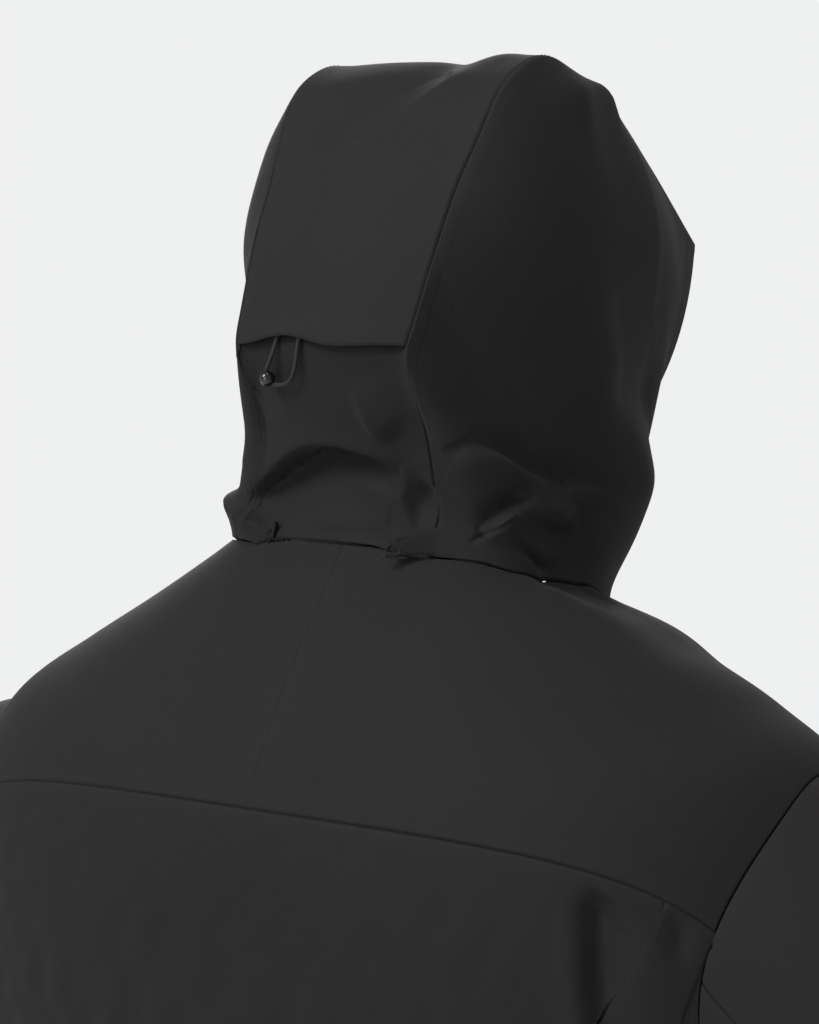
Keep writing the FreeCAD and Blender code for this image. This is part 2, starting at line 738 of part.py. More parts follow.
def export_all():
    os.makedirs("parts", exist_ok=True)
    for make in (make_torso, make_sleeves, make_hood, make_hood_details, make_adjuster,
                 make_zips, make_pocket_bags, make_cuff_tabs, make_hem_eyelets):
        make()
    for name, shape in NODES.items():
        shape.exportStep("parts/" + name + ".step")
        print(name, shape.isValid(), len(shape.Solids), round(shape.Volume))


export_all()
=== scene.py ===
import math
import bmesh
import bpy
import numpy as np
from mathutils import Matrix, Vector, kdtree


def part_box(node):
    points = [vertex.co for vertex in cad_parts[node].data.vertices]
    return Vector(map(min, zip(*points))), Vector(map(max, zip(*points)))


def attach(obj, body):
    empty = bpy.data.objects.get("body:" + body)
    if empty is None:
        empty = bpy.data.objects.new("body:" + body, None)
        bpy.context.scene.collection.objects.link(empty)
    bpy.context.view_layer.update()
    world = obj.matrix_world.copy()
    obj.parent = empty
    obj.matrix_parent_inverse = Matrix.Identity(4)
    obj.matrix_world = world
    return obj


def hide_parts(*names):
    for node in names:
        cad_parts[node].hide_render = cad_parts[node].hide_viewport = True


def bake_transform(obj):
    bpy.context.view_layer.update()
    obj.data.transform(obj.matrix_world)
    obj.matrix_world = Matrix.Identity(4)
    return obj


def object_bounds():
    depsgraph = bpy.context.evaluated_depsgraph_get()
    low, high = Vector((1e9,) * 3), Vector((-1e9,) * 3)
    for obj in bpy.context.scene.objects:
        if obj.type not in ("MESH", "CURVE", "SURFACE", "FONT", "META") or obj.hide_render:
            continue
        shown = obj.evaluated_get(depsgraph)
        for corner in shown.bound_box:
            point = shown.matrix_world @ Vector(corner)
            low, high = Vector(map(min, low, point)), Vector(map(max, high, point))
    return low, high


# Hardshell jacket with its hood up.  Every size is in metres, in the row frame.
# Each cloth piece is a fine closed shell on one of four base surfaces.  A cloth
# simulation of the trunk and the sleeves, run on coarse tubes, gives the soft folds
# there.  A table of fold lines gives the creases of the hood, neck and shoulders.

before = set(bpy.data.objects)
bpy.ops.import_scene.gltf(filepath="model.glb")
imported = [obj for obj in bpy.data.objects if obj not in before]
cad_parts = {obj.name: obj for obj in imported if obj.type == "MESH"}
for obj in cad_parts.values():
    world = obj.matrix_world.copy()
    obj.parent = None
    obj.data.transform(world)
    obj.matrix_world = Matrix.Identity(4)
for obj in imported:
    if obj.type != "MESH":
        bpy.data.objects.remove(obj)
cad_low, cad_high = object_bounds()

# ---- driving sizes ----
CLOTH = 0.0009          # thickness of the laminate
HEM_CLOTH = 0.0026      # folded hem and cuff
SPACING = 0.0042        # distance between the points of a cloth panel
HOOD_SPACING = 0.0024   # finer cells where the small creases are
ZIP_TOP = (-0.104, 0.042)       # y, z of the top of the front opening
ZIP_FOOT = (-0.122, -0.715)
ZIP_GAP = 0.006
EDGE_STATIONS = (0.0, 0.0007, 0.0016, 0.0028, 0.0045)    # extra rows beside an edge
SEAM_DEPTH, SEAM_WIDTH = 0.0010, 0.0012     # groove along a seam
FAINT_GAP = 0.00085     # added to the distance from a taped seam, so that it hardly shows
ALLOWANCE_RISE, ALLOWANCE_WIDTH = 0.0002, 0.009         # cloth folded under beside it
STITCH_PITCH, STITCH_LENGTH, THREAD = 0.0031, 0.0024, 0.00032
STITCH_INSET = 0.0021
HEM_FOLD = 0.012        # width of the cloth folded under at a hem
FLIP = np.array([-1.0, 1.0, 1.0])           # mirrors a point to the right side

# ---- base surfaces ----
# Torso rings: position, half width, back y, front z, back z, side z, roundness of the
# front half and of the back half
TORSO = [
    (0, 0.113, 0.074, -0.066, 0, -0.017, 1.9, 2.8),
    (1, 0.156, 0.104, -0.088, -0.038, -0.038, 2, 2.3),
    (2, 0.203, 0.132, -0.114, -0.082, -0.063, 2.1, 2.15),
    (3, 0.247, 0.151, -0.148, -0.124, -0.091, 2.2, 2.2),
    (4, 0.271, 0.163, -0.19, -0.175, -0.142, 2.3, 2.3),
    (5, 0.275, 0.17, -0.245, -0.24, -0.225, 2.35, 2.35),
    (6, 0.262, 0.17, -0.325, -0.322, -0.325, 2.35, 2.35),
    (7, 0.25, 0.16, -0.43, -0.43, -0.43, 2.3, 2.3),
    (8, 0.243, 0.146, -0.57, -0.57, -0.57, 2.3, 2.3),
    (9, 0.247, 0.146, -0.68, -0.69, -0.684, 2.3, 2.3),
    (10, 0.248, 0.146, -0.715, -0.745, -0.725, 2.3, 2.3),
]
# Hood seam line from brim to nape: position, y, z, half width, crown of the strip
HOOD = [
    (0, -0.146, 0.149, 0.06, 0.01),
    (0.134, -0.099, 0.191, 0.062, 0.008),
    (0.249, -0.058, 0.223, 0.064, 0.004),
    (0.314, -0.03, 0.233, 0.065, 0),
    (0.366, -0.008, 0.243, 0.066, -0.001),
    (0.405, 0.01, 0.242, 0.066, -0.001),
    (0.457, 0.031, 0.23, 0.065, 0.001),
    (0.53, 0.048, 0.202, 0.062, 0.004),
    (0.584, 0.06, 0.18, 0.059, 0.006),
    (0.656, 0.075, 0.15, 0.058, 0.008),
    (0.732, 0.088, 0.118, 0.056, 0.008),
    (0.773, 0.0934, 0.1, 0.054, 0.008),
    (0.814, 0.0865, 0.082, 0.0535, 0.007),
    (0.864, 0.075, 0.062, 0.0525, 0.006),
    (0.924, 0.068, 0.034, 0.052, 0.004),
    (0.97, 0.0645, 0.014, 0.0515, 0.004),
    (1, 0.072, 0.001, 0.051, 0.003),
]
# Middle of each rib of the hood's side: position, x, y, z
HOOD_RIB = [
    (0, 0.074, -0.084, 0.068),
    (0.134, 0.09, -0.074, 0.082),
    (0.249, 0.101, -0.052, 0.087),
    (0.366, 0.109, -0.026, 0.092),
    (0.457, 0.112, -0.004, 0.095),
    (0.53, 0.107, 0.018, 0.095),
    (0.6, 0.096, 0.038, 0.088),
    (0.68, 0.08, 0.057, 0.078),
    (0.773, 0.071, 0.073, 0.062),
    (0.864, 0.066, 0.067, 0.036),
    (0.93, 0.061, 0.0645, 0.018),
    (1, 0.0505, 0.071, 0.0005),
]
# Sleeve rings: position, centre x, y, z, tilt in degrees, half height, half depth
SLEEVE = [
    (0, 0.252, 0.026, -0.206, 88, 0.117, 0.088),
    (0.05, 0.283, 0.025, -0.222, 81, 0.111, 0.087),
    (0.12, 0.311, 0.024, -0.245, 69, 0.107, 0.086),
    (0.25, 0.338, 0.022, -0.289, 50, 0.096, 0.082),
    (0.4, 0.354, 0.017, -0.374, 27, 0.079, 0.075),
    (0.56, 0.373, 0.007, -0.463, 13, 0.066, 0.067),
    (0.76, 0.392, -0.018, -0.575, 9, 0.057, 0.058),
    (0.92, 0.404, -0.046, -0.676, 7, 0.048, 0.049),
    (1, 0.408, -0.058, -0.716, 6, 0.044, 0.045),
]
# Back side seam: torso position, share of the girth from the centre back
BACK_SEAM = [(3.8, 0.147), (4.56, 0.119), (5.3, 0.106), (6.5, 0.102), (8.0, 0.108), (10.0, 0.115)]
# Adjuster cord, out from under the flap, through its bead and back
CORD_ROUTE = [
    (0.0246, 0.0882, 0.125),
    (0.0249, 0.0926, 0.113),
    (0.0257, 0.0958, 0.1035),
    (0.0293, 0.0956, 0.095),
    (0.0336, 0.0944, 0.089),
    (0.0315, 0.0938, 0.0836),
    (0.025, 0.0932, 0.082),
    (0.0175, 0.0942, 0.0846),
    (0.0126, 0.0962, 0.0922),
    (0.0104, 0.0976, 0.1005),
    (0.0099, 0.0952, 0.112),
    (0.0096, 0.0896, 0.125),
]
BEAD_AT, BEAD_RADIUS, CORD_DIAMETER = (0.0323, 0.0944, 0.0854), 0.004, 0.0022
ARMHOLE_TOP, ARMHOLE_FOOT, ARMHOLE_DEPTH = 3.03, 6.0, 0.038
HEM_TOP, FRONT_SEAM, SIDE_SEAM = 9.63, 0.165, 0.215
FLAP_EDGE, BRIM_SEAM, CUFF_START, ARM_BLEND = 0.773, 0.105, 0.935, 0.12
CHIN_SHARE, RING_START, RING_END = 0.22, 0.006, 0.448
YOKE_CORNER, ARMHOLE_CORNER, SHOULDER_FRONT, YOKE_SPLIT = 0.168, 0.207, -0.13, 0.62


def cubic(table, v):
    """Smooth curves through the rows (position, values...) of a table, at every v."""
    rows = np.array(table, float)
    at, values = rows[:, 0], rows[:, 1:]
    v = np.asarray(v, float)
    i = np.clip(np.searchsorted(at, v) - 1, 0, len(at) - 2)
    slope = np.empty_like(values)
    slope[1:-1] = (values[2:] - values[:-2]) / (at[2:] - at[:-2])[:, None]
    slope[0] = (values[1] - values[0]) / (at[1] - at[0])
    slope[-1] = (values[-1] - values[-2]) / (at[-1] - at[-2])
    h = (at[i + 1] - at[i])[..., None]
    u = (v[..., None] - at[i][..., None]) / h
    rise = (2 * u**3 - 3 * u**2 + 1) * values[i] + (3 * u**2 - 2 * u**3) * values[i + 1]
    rise = rise + (u**3 - 2 * u**2 + u) * h * slope[i] + (u**3 - u**2) * h * slope[i + 1]
    return np.moveaxis(rise, -1, 0)


def mix(a, b, k):
    return a + (b - a) * k


def smooth(k):
    k = np.clip(k, 0.0, 1.0)
    return k * k * (3 - 2 * k)


def root(value, power):
    return np.sign(value) * np.abs(value) ** power


def stack(x, y, z):
    return np.stack(np.broadcast_arrays(x, y, z), axis=-1)


def unit(v):
    return v / np.maximum(np.linalg.norm(v, axis=-1, keepdims=True), 1e-12)


def zip_y(z):
    """The front opening is one straight line."""
    return mix(ZIP_TOP[0], ZIP_FOOT[0], (z - ZIP_TOP[1]) / (ZIP_FOOT[1] - ZIP_TOP[1]))


def torso(t, v):
    """t runs round from the centre front (0) over the left side (0.25) to the back."""
    a, back_y, front_z, back_z, side_z, front_n, back_n = cubic(TORSO, v)
    front_y = zip_y(front_z)
    s, c = np.sin(2 * np.pi * t), np.cos(2 * np.pi * t)
    n = np.where(c > 0, front_n, back_n)
    y = (front_y + back_y) / 2 - (back_y - front_y) / 2 * root(c, 2 / n)
    lift = (front_z + back_z) / 4 - side_z / 2
    z = side_z + lift - (back_z - front_z) / 2 * c + lift * (2 * c * c - 1)
    return stack(a * root(s, 2 / n), y, z)


def share_at(x, v, roundness=5):
    """Share of the ring v between its centre and this x; 5 for the front, 6 for the back."""
    ring = cubic(TORSO, v)
    return np.arcsin(np.clip((x / ring[0]) ** (ring[roundness] / 2), 0, 1)) / (2 * np.pi)


def armhole(c):
    """Torso (t, v) on the armhole seam: c is 0 on the shoulder, 0.25 at the back."""
    u = (1 - np.cos(2 * np.pi * c)) / 2
    v = mix(ARMHOLE_TOP, ARMHOLE_FOOT, u)
    bow = np.sin(np.pi * u)
    t = share_at(cubic(TORSO, v)[0] - ARMHOLE_DEPTH * bow * (0.35 + 0.65 * bow), v)
    return np.where(np.sin(2 * np.pi * c) > 0, 0.5 - t, t), v


def sleeve(c, w):
    """c runs round from the outer side (0) over the back (0.25); w from armhole to cuff."""
    cx, cy, cz, tilt, height, depth = cubic(SLEEVE, w)
    tilt = np.radians(tilt)
    along, across = height * np.cos(2 * np.pi * c), depth * np.sin(2 * np.pi * c)
    ring = stack(cx + along * np.cos(tilt), cy + across, cz + along * np.sin(tilt))
    k = 1 - (1 - np.clip(w / ARM_BLEND, 0, 1)) ** 2
    return mix(torso(*armhole(c)), ring, k[..., None])


def hood_strip(s, q):
    """Centre strip of the hood: s from brim to nape, q from -1 to 1 across."""
    y, z, w, crown = cubic(HOOD, s)
    step = 0.001
    y0, z0 = cubic(HOOD, np.maximum(0.0, s - step))[:2]
    y1, z1 = cubic(HOOD, np.minimum(1.0, s + step))[:2]
    out = crown * (1 - q * q) / np.hypot(y1 - y0, z1 - z0)
    return stack(w * q, y - out * (z1 - z0), z + out * (y1 - y0))


def hood_low(m):
    """Lower edge of the hood's side: down the zip, then round the neck seam."""
    chin = np.array([ZIP_GAP, ZIP_TOP[0], ZIP_TOP[1]])
    foot = torso(np.array(RING_START), np.array(0.0))
    front = mix(chin, foot, np.clip(m / CHIN_SHARE, 0, 1)[..., None])
    u = (m - CHIN_SHARE) / (1 - CHIN_SHARE)
    ring = torso(mix(RING_START, RING_END, np.clip(u, 0, 1)), np.zeros_like(m))
    return np.where((m < CHIN_SHARE)[..., None], front, ring)


def hood_side(s, r):
    """Left side of the hood: r runs from the hood seam (0) to the lower edge (1)."""
    y, z, w = cubic(HOOD, s)[:3]
    top, low, middle = stack(w, y, z), hood_low(s), stack(*cubic(HOOD_RIB, s))
    bulge = 4 * r * (1 - r)
    fuller = 0.35 * (1 - smooth((s - 0.55) / 0.2))
    full = bulge * np.where(r < 0.5, 1 + fuller * (1 - 2 * r) ** 2, 1.0)
    swell = stack(full, full, bulge)
    return mix(top, low, r[..., None]) + (middle - (top + low) / 2) * swell


def settled_strip(s, q):
    """The centre strip, brought down onto the neck ring at its lower end."""
    q = np.clip(q, -1, 1)
    x = cubic(HOOD, s)[2] * np.abs(q)
    level = np.zeros_like(s)
    ring = torso(0.5 - np.where(q < 0, -1, 1) * share_at(x, level, 6), level)
    return mix(hood_strip(s, q), ring, smooth((s - 0.93) / 0.068)[..., None])


def settled_side(s, r):
    """The side of the hood, kept on the edge of the settled strip."""
    r = np.clip(r, 0, 1)
    edge = np.ones_like(s)
    moved = settled_strip(s, edge) - hood_strip(s, edge)
    return hood_side(s, r) + moved * (1 - r)[..., None]


def normals(surface, a, b):
    step = 0.0005
    du = surface(a + step, b) - surface(a - step, b)
    dv = surface(a, b + step) - surface(a, b - step)
    return unit(-np.cross(du, dv))


# ---- where each panel lies on its surface: p and q from 0 to 1 ----
def yoke_seam(d):
    """Torso position of the yoke's lower seam, d being the share from the centre back."""
    return 2.88 + 43.2 * d * d


def yoke_place(p, q):
    """p runs from the centre back round to the front seam, q from the neck outwards."""
    d = YOKE_CORNER * p / YOKE_SPLIT
    seam_t, seam_v = 0.5 - d, yoke_seam(d)
    arm_t, arm_v = armhole(mix(ARMHOLE_CORNER, SHOULDER_FRONT, (p - YOKE_SPLIT) / (1 - YOKE_SPLIT)))
    low_t, low_v = np.where(p < YOKE_SPLIT, seam_t, arm_t), np.where(p < YOKE_SPLIT, seam_v, arm_v)
    return mix(mix(0.5, FRONT_SEAM, p), low_t, q), low_v * q


def back_width(v):
    return cubic(BACK_SEAM, np.maximum(BACK_SEAM[0][0], v))[0]


def back_place(p, q):
    d0 = BACK_SEAM[0][1]
    top = yoke_seam(d0 * np.abs(2 * p - 1))
    v = mix(top, HEM_TOP, q)
    d = mix(d0, back_width(v), smooth(q * 8))
    return 0.5 + d * (2 * p - 1), v


def side_edge(p):
    """Upper edge of the side panel: along the yoke seam, then down the armhole."""
    turn = 0.12
    d = mix(BACK_SEAM[0][1], YOKE_CORNER, p / turn)
    t, v = armhole(mix(ARMHOLE_CORNER, 0.5, np.clip((p - turn) / (1 - turn), 0, 1)))
    return np.where(p < turn, 0.5 - d, t), np.where(p < turn, yoke_seam(d), v)


def front_side_seam(v):
    return mix(0.25, SIDE_SEAM, smooth((v - ARMHOLE_FOOT) / 2))


def side_place(p, q):
    top_t, top_v = side_edge(p)
    v = mix(top_v, HEM_TOP, q)
    low = mix(0.5 - back_width(v), front_side_seam(v), p)
    shift = top_t - mix(0.5 - back_width(top_v), front_side_seam(top_v), p)
    return low + shift * (1 - smooth(q * 1.6)), v


def front_edge(q):
    """Outer edge of the front panel: yoke seam, armhole, then the side seam."""
    neck, shoulder = 0.14, 0.42
    corner_t, corner_v = armhole(np.array(SHOULDER_FRONT))
    k = np.clip((q - neck) / (shoulder - neck), 0, 1)
    arm_t, arm_v = armhole(mix(SHOULDER_FRONT, -0.4999, k))
    side_v = mix(ARMHOLE_FOOT, HEM_TOP, np.clip((q - shoulder) / (1 - shoulder), 0, 1))
    t = np.where(q < shoulder, arm_t, front_side_seam(side_v))
    v = np.where(q < shoulder, arm_v, side_v)
    top = q < neck
    return np.where(top, mix(FRONT_SEAM, corner_t, q / neck), t), np.where(top, corner_v * q / neck, v)


def front_place(p, q):
    edge_t, edge_v = front_edge(q)
    v = mix(HEM_TOP * q, edge_v, smooth(p))
    return mix(share_at(ZIP_GAP, v), edge_t, p), v


def hem_place(p, q):
    v = mix(HEM_TOP, 10.0, q)
    start = share_at(ZIP_GAP, v)
    return mix(start, 1 - start, p), v


def back_arm_seam(w):
    return mix(0.234, 0.31, smooth(w / 0.5))


def upper_place(p, q):
    w = CUFF_START * q
    return mix(-back_arm_seam(w), back_arm_seam(w), p), w


def under_place(p, q):
    w = CUFF_START * q
    return mix(back_arm_seam(w), 1 - back_arm_seam(w), p), w


def cuff_place(p, q):
    return p, mix(CUFF_START, 1.0, q)


def patch(a0, a1, b0, b1):
    """A plain rectangle of a surface."""
    def place(p, q):
        return mix(a0, a1, p), mix(b0, b1, q)
    return place


BODY, ARM, STRIP, SIDE = torso, sleeve, settled_strip, settled_side


# ---- folds and creases ----
NECK_WIDTH, NECK_BACK = 0.112, 0.076    # half axes of the oval that neck() follows
FOLD_DEPTH = 0.012      # a fold also moves cloth this far in front of or behind its line
FOLD_SPREAD = 3.2       # beyond this many widths a fold moves nothing
SIDE_BLEND = 0.002      # over this distance the width changes from below to above
TAPER_POWER = 0.7       # how quickly a fold fades in at its ends
HOOD_CUSP, BODY_CUSP = 1.5, 2.0         # lower is a sharper crest


def neck(*places):
    """A line round the neck: degrees from the centre back (left is positive), height."""
    turns = [(math.radians(degrees), z) for degrees, z in places]
    return [(NECK_WIDTH * math.sin(turn), NECK_BACK * math.cos(turn), z) for turn, z in turns]


# Each row: where it acts, how far it lifts the cloth (a height along its normal, or a
# push in the row frame), its reach below and above the line, and the line itself.  As
# seen from outside, "above" is on the left of somebody walking along the line.  Most of
# the lines are rounded from places that a projection script printed; see report.md.
FOLDS = [
    # overhang across the nape, the hollow under it, and the collar's turned edge
    ("hood", 0.0055, 0.0028, 0.011, neck((40, 0.025), (8, 0.053), (-18, 0.046))),
    ("hood", -0.0150, 0.016, 0.003, neck((40, 0.020), (8, 0.048), (-18, 0.040))),
    ("hood", 0.0085, 0.014, 0.0035, neck((75, 0.020), (52, 0.018), (38, 0.010), (28, 0.004))),
    ("hood", 0.0030, 0.010, 0.008, neck((16, 0.010), (-14, 0.013))),
    ("hood", 0.0030, 0.010, 0.005, neck((0, 0.038), (-16, 0.022))),
    ("hood", -0.0075, 0.010, 0.009, neck((-18, 0.022), (-28, 0.032))),
    ("hood", 0.0040, 0.004, 0.016, neck((-10, 0.096), (-12, 0.070), (-16, 0.058))),
    # right side of the neck: a shelf with its crest, and the creases below it
    ("hood", -0.0060, 0.0025, 0.009, neck((-34, 0.060), (-48, 0.050), (-60, 0.041), (-88, 0.032))),
    ("hood", 0.0060, 0.009, 0.004, neck((-35, 0.054), (-48, 0.046), (-64, 0.035))),
    ("hood", -0.0075, 0.003, 0.006, neck((-40, 0.014), (-48, 0.027), (-58, 0.034))),
    ("hood", 0.0050, 0.005, 0.003, neck((-42, 0.012), (-52, 0.024))),
    ("hood", -0.0030, 0.0016, 0.0016, neck((-38, 0.008), (-52, 0.022))),
    ("hood", 0.0060, 0.007, 0.009, neck((-50, 0.020), (-78, 0.022))),
    ("hood", -0.0090, 0.007, 0.0035, neck((-50, 0.016), (-64, 0.018), (-84, 0.010))),
    ("hood", -0.0055, 0.002, 0.0035, neck((-50, 0.012), (-62, 0.003), (-80, -0.005))),
    # fuller and closer stretches of the hood beside the neck and the face
    ("hood", (-0.0028, -0.0022, 0.0), 0.016, 0.016, neck((-90, 0.033), (-120, 0.033))),
    ("hood", (0.0055, 0.0042, 0.0), 0.018, 0.018, neck((-105, 0.078), (-125, 0.078))),
    ("hood", (0.0038, 0.0030, 0.0), 0.024, 0.024, neck((-105, 0.115), (-130, 0.120))),
    ("hood", (-0.0042, -0.0026, 0.0), 0.028, 0.026, [(0.079, 0.056, 0.112), (0.077, 0.056, 0.062)]),
    ("hood", (0.0018, 0.0012, 0.0), 0.030, 0.026, [(0.080, 0.035, 0.195), (0.082, 0.050, 0.156)]),
    # the crown: bumps over the seams, a drag line and the hollow beside it
    ("hood", (0.0, 0.0, 0.0028), 0.016, 0.016, [(-0.045, -0.025, 0.245), (-0.044, 0.0, 0.244)]),
    ("hood", (0.0, 0.0, -0.0022), 0.013, 0.013, [(-0.020, -0.030, 0.245), (-0.020, 0.010, 0.243)]),
    ("hood", (0.0015, 0.0, -0.0025), 0.026, 0.026, [(0.064, -0.030, 0.235), (0.064, 0.015, 0.225)]),
    ("hood", (-0.005, -0.003, 0.0035), 0.016, 0.016, [(-0.080, -0.045, 0.233), (-0.086, -0.010, 0.227)]),
    ("hood", -0.0050, 0.014, 0.012, [(0.040, 0.050, 0.205), (-0.025, 0.020, 0.240)]),
    ("hood", 0.0022, 0.014, 0.005, [(0.040, 0.060, 0.190), (0.005, 0.055, 0.200), (-0.040, 0.020, 0.240)]),
    # hollow behind the right shoulder blade, beside the back side seam
    ("body", -0.0085, 0.007, 0.013,
     [(-0.200, 0.125, -0.140), (-0.193, 0.130, -0.155), (-0.205, 0.135, -0.230)]),
    ("body", 0.0035, 0.010, 0.005,
     [(-0.190, 0.130, -0.145), (-0.190, 0.135, -0.175), (-0.195, 0.135, -0.220)]),
    ("body", -0.0030, 0.004, 0.005, [(-0.226, 0.110, -0.145), (-0.228, 0.115, -0.170)]),
    # the neck seam: higher at the nape, tucked in over the right shoulder
    ("both", (0.0, 0.0, 0.0038), 0.020, 0.020, neck((15, 0.0), (-10, 0.0))),
    ("both", (0.0, 0.0, -0.0040), 0.016, 0.016, neck((-54, -0.002), (-68, -0.006))),
    ("both", (0.019, 0.014, 0.0), 0.022, 0.032,
     neck((-80, -0.018), (-100, -0.022), (-125, -0.032), (-150, -0.045))),
    # the shoulders slope a little more
    ("body", (0.0, 0.0, -0.008), 0.030, 0.030, [(0.245, 0.040, -0.095), (0.265, -0.020, -0.100)]),
    ("body", (0.0, 0.0, -0.0045), 0.030, 0.030, [(-0.145, 0.010, -0.042), (-0.160, -0.040, -0.052)]),
]


def route_points(route, steps=24):
    """A smooth line through the points of a fold."""
    rows = [(k, *p) for k, p in enumerate(route)]
    at = np.linspace(0, len(route) - 1, steps * (len(route) - 1) + 1)
    return np.stack(cubic(rows, at), axis=-1)


def fold_moves(points, outward, region):
    """How far each point is moved by the fold lines of its region."""
    total = np.zeros_like(points)
    cusp = HOOD_CUSP if region == "hood" else BODY_CUSP
    for where, rise, below, above, route in FOLDS:
        if where not in ("both", region) or region == "none":
            continue
        line = route_points(route)
        reach = FOLD_SPREAD * max(below, above) + FOLD_DEPTH
        low, high = line.min(0) - reach, line.max(0) + reach
        near = np.flatnonzero(np.all((points > low) & (points < high), axis=1))
        if not len(near):
            continue
        gap = points[near, None, :] - line[None]
        gap = gap - (gap * outward[near, None]).sum(-1, keepdims=True) * outward[near, None]
        nearest = np.argmin((gap**2).sum(-1), axis=1)
        gap = gap[np.arange(len(near)), nearest]
        direction = unit(np.gradient(line, axis=0))[nearest]
        side = (np.cross(direction, gap) * outward[near]).sum(-1)
        width = mix(below, above, smooth(side / SIDE_BLEND + 0.5))
        share = nearest / (len(line) - 1)
        distance = np.linalg.norm(gap, axis=1) / width
        if isinstance(rise, tuple):
            weight, push = np.exp(-(distance**2)), np.array(rise)
        else:
            taper = np.sin(np.pi * share) ** TAPER_POWER
            weight, push = taper * np.exp(-(distance**cusp)), rise * outward[near]
        total[near] += weight[:, None] * push
    return total


# ---- cloth simulation of the trunk and the sleeves ----
SLACK, SIM_FRAMES, SIM_LIMIT = 0.045, 32, 0.014     # extra cloth, frames, furthest move
TRUNK_TOP, TRUNK_FOOT, TRUNK_FADE = -0.075, -0.690, 0.10    # heights where it is held
FRONT_HELD, FRONT_FADE = 0.035, 0.05        # beside the front zip
BACK_SHARE, BACK_TOP, BACK_FADE = 0.25, -0.20, 0.16         # the yoke moves less
HARDWARE_HELD, HARDWARE_FADE = 0.012, 0.055     # beside armholes and pocket zips
NEIGHBOURS, BLUR = 10, 0.008    # coarse points that share in moving a fine one
SIM = {"tree": None, "move": None}


def trunk_freedom(points, _):
    """1 where the trunk hangs freely, 0 beside zips, hem, yoke and armholes."""
    height = points[:, 2]
    share = smooth((TRUNK_TOP - height) / TRUNK_FADE) * smooth((height - TRUNK_FOOT) / TRUNK_FADE)
    front = points[:, 1] < 0
    share = share * np.where(front, smooth((np.abs(points[:, 0]) - FRONT_HELD) / FRONT_FADE), 1)
    lower = BACK_SHARE + (1 - BACK_SHARE) * smooth((BACK_TOP - height) / BACK_FADE)
    share = share * np.where(front, 1, lower)
    ring = torso(*armhole(np.linspace(0, 1, 60)))
    fixed = [ring, ring * FLIP]
    for line, on_both_sides in ((HAND_POCKET, True), (CHEST_POCKET, False)):
        top, foot, _ = pocket_line(line)
        zip_points = mix(top, foot, np.linspace(0, 1, 20)[:, None])
        fixed += [zip_points, zip_points * FLIP] if on_both_sides else [zip_points]
    fixed = np.concatenate(fixed)
    gap = np.linalg.norm(points[:, None] - fixed[None], axis=-1).min(1)
    return share * smooth((gap - HARDWARE_HELD) / HARDWARE_FADE)


def arm_freedom(_, w):
    """1 where a sleeve hangs freely, 0 at its armhole and cuff."""
    return smooth((w - 0.05) / 0.14) * smooth((0.90 - w) / 0.08)


def hang(name, surface, rows, columns, low, high, side, free, seed):
    """Simulates a tube of slack cloth; gives its rest points and how far they moved."""
    a, b = np.meshgrid(np.arange(rows) / rows, np.linspace(low, high, columns), indexing="ij")
    flip = FLIP if side < 0 else 1
    rest = (surface(a, b) * flip).reshape(-1, 3)
    outward = (normals(surface, a, b) * flip).reshape(-1, 3)
    share = free(rest, b.ravel())
    ripple = np.random.default_rng(seed).normal(0, 0.0008, len(rest)) * share
    mesh = bpy.data.meshes.new(name)
    start = rest + outward * ripple[:, None]
    mesh.from_pydata(start.tolist(), [], grid_quads(rows, columns, True).tolist())
    tube = bpy.data.objects.new(name, mesh)
    bpy.context.scene.collection.objects.link(tube)
    held = tube.vertex_groups.new(name="held")
    for k, amount in enumerate(share):
        held.add([k], float(1 - amount), "REPLACE")
    cloth = tube.modifiers.new("hang", "CLOTH")
    cloth.settings.quality = 5
    cloth.settings.mass = 0.12
    cloth.settings.tension_stiffness = cloth.settings.compression_stiffness = 14
    cloth.settings.shear_stiffness = 5
    cloth.settings.bending_stiffness = 0.35
    cloth.settings.vertex_group_mass = "held"
    cloth.settings.shrink_min = -SLACK
    cloth.settings.use_pressure = True
    cloth.settings.uniform_pressure_force = 0.6
    cloth.point_cache.frame_end = SIM_FRAMES
    for now in range(1, SIM_FRAMES + 1):
        bpy.context.scene.frame_set(now)
    shape = tube.evaluated_get(bpy.context.evaluated_depsgraph_get())
    settled = np.array([v.co[:] for v in shape.data.vertices])
    bpy.data.objects.remove(tube)
    bpy.context.scene.frame_set(1)
    moved = (settled - rest) * share[:, None]
    length = np.linalg.norm(moved, axis=1, keepdims=True)
    return rest, moved * SIM_LIMIT / np.maximum(length, SIM_LIMIT)


def simulate():
    """Hangs the trunk and both sleeves, and keeps the moves for drape()."""
    parts = [hang("trunk", BODY, 116, 62, 0.8, HEM_TOP, 1, trunk_freedom, 3),
             hang("arm_left", ARM, 48, 56, 0.03, CUFF_START, 1, arm_freedom, 5),
             hang("arm_right", ARM, 48, 56, 0.03, CUFF_START, -1, arm_freedom, 8)]
    rest = np.concatenate([part[0] for part in parts])
    SIM["move"] = np.concatenate([part[1] for part in parts])
    tree = kdtree.KDTree(len(rest))
    for k, p in enumerate(rest):
        tree.insert(p, k)
    tree.balance()
    SIM["tree"] = tree


def drape(points):
    """How far the simulated tubes moved, blurred over their nearest points."""
    if SIM["tree"] is None:
        return np.zeros_like(points)
    moved = np.empty_like(points)
    for k, p in enumerate(points):
        found = SIM["tree"].find_n(p, NEIGHBOURS)
        index = [f[1] for f in found]
        distance = np.array([f[2] for f in found])
        weight = np.exp(-((distance / BLUR) ** 2)) + 1e-6
        moved[k] = (SIM["move"][index] * weight[:, None]).sum(0) / weight.sum()
    return moved


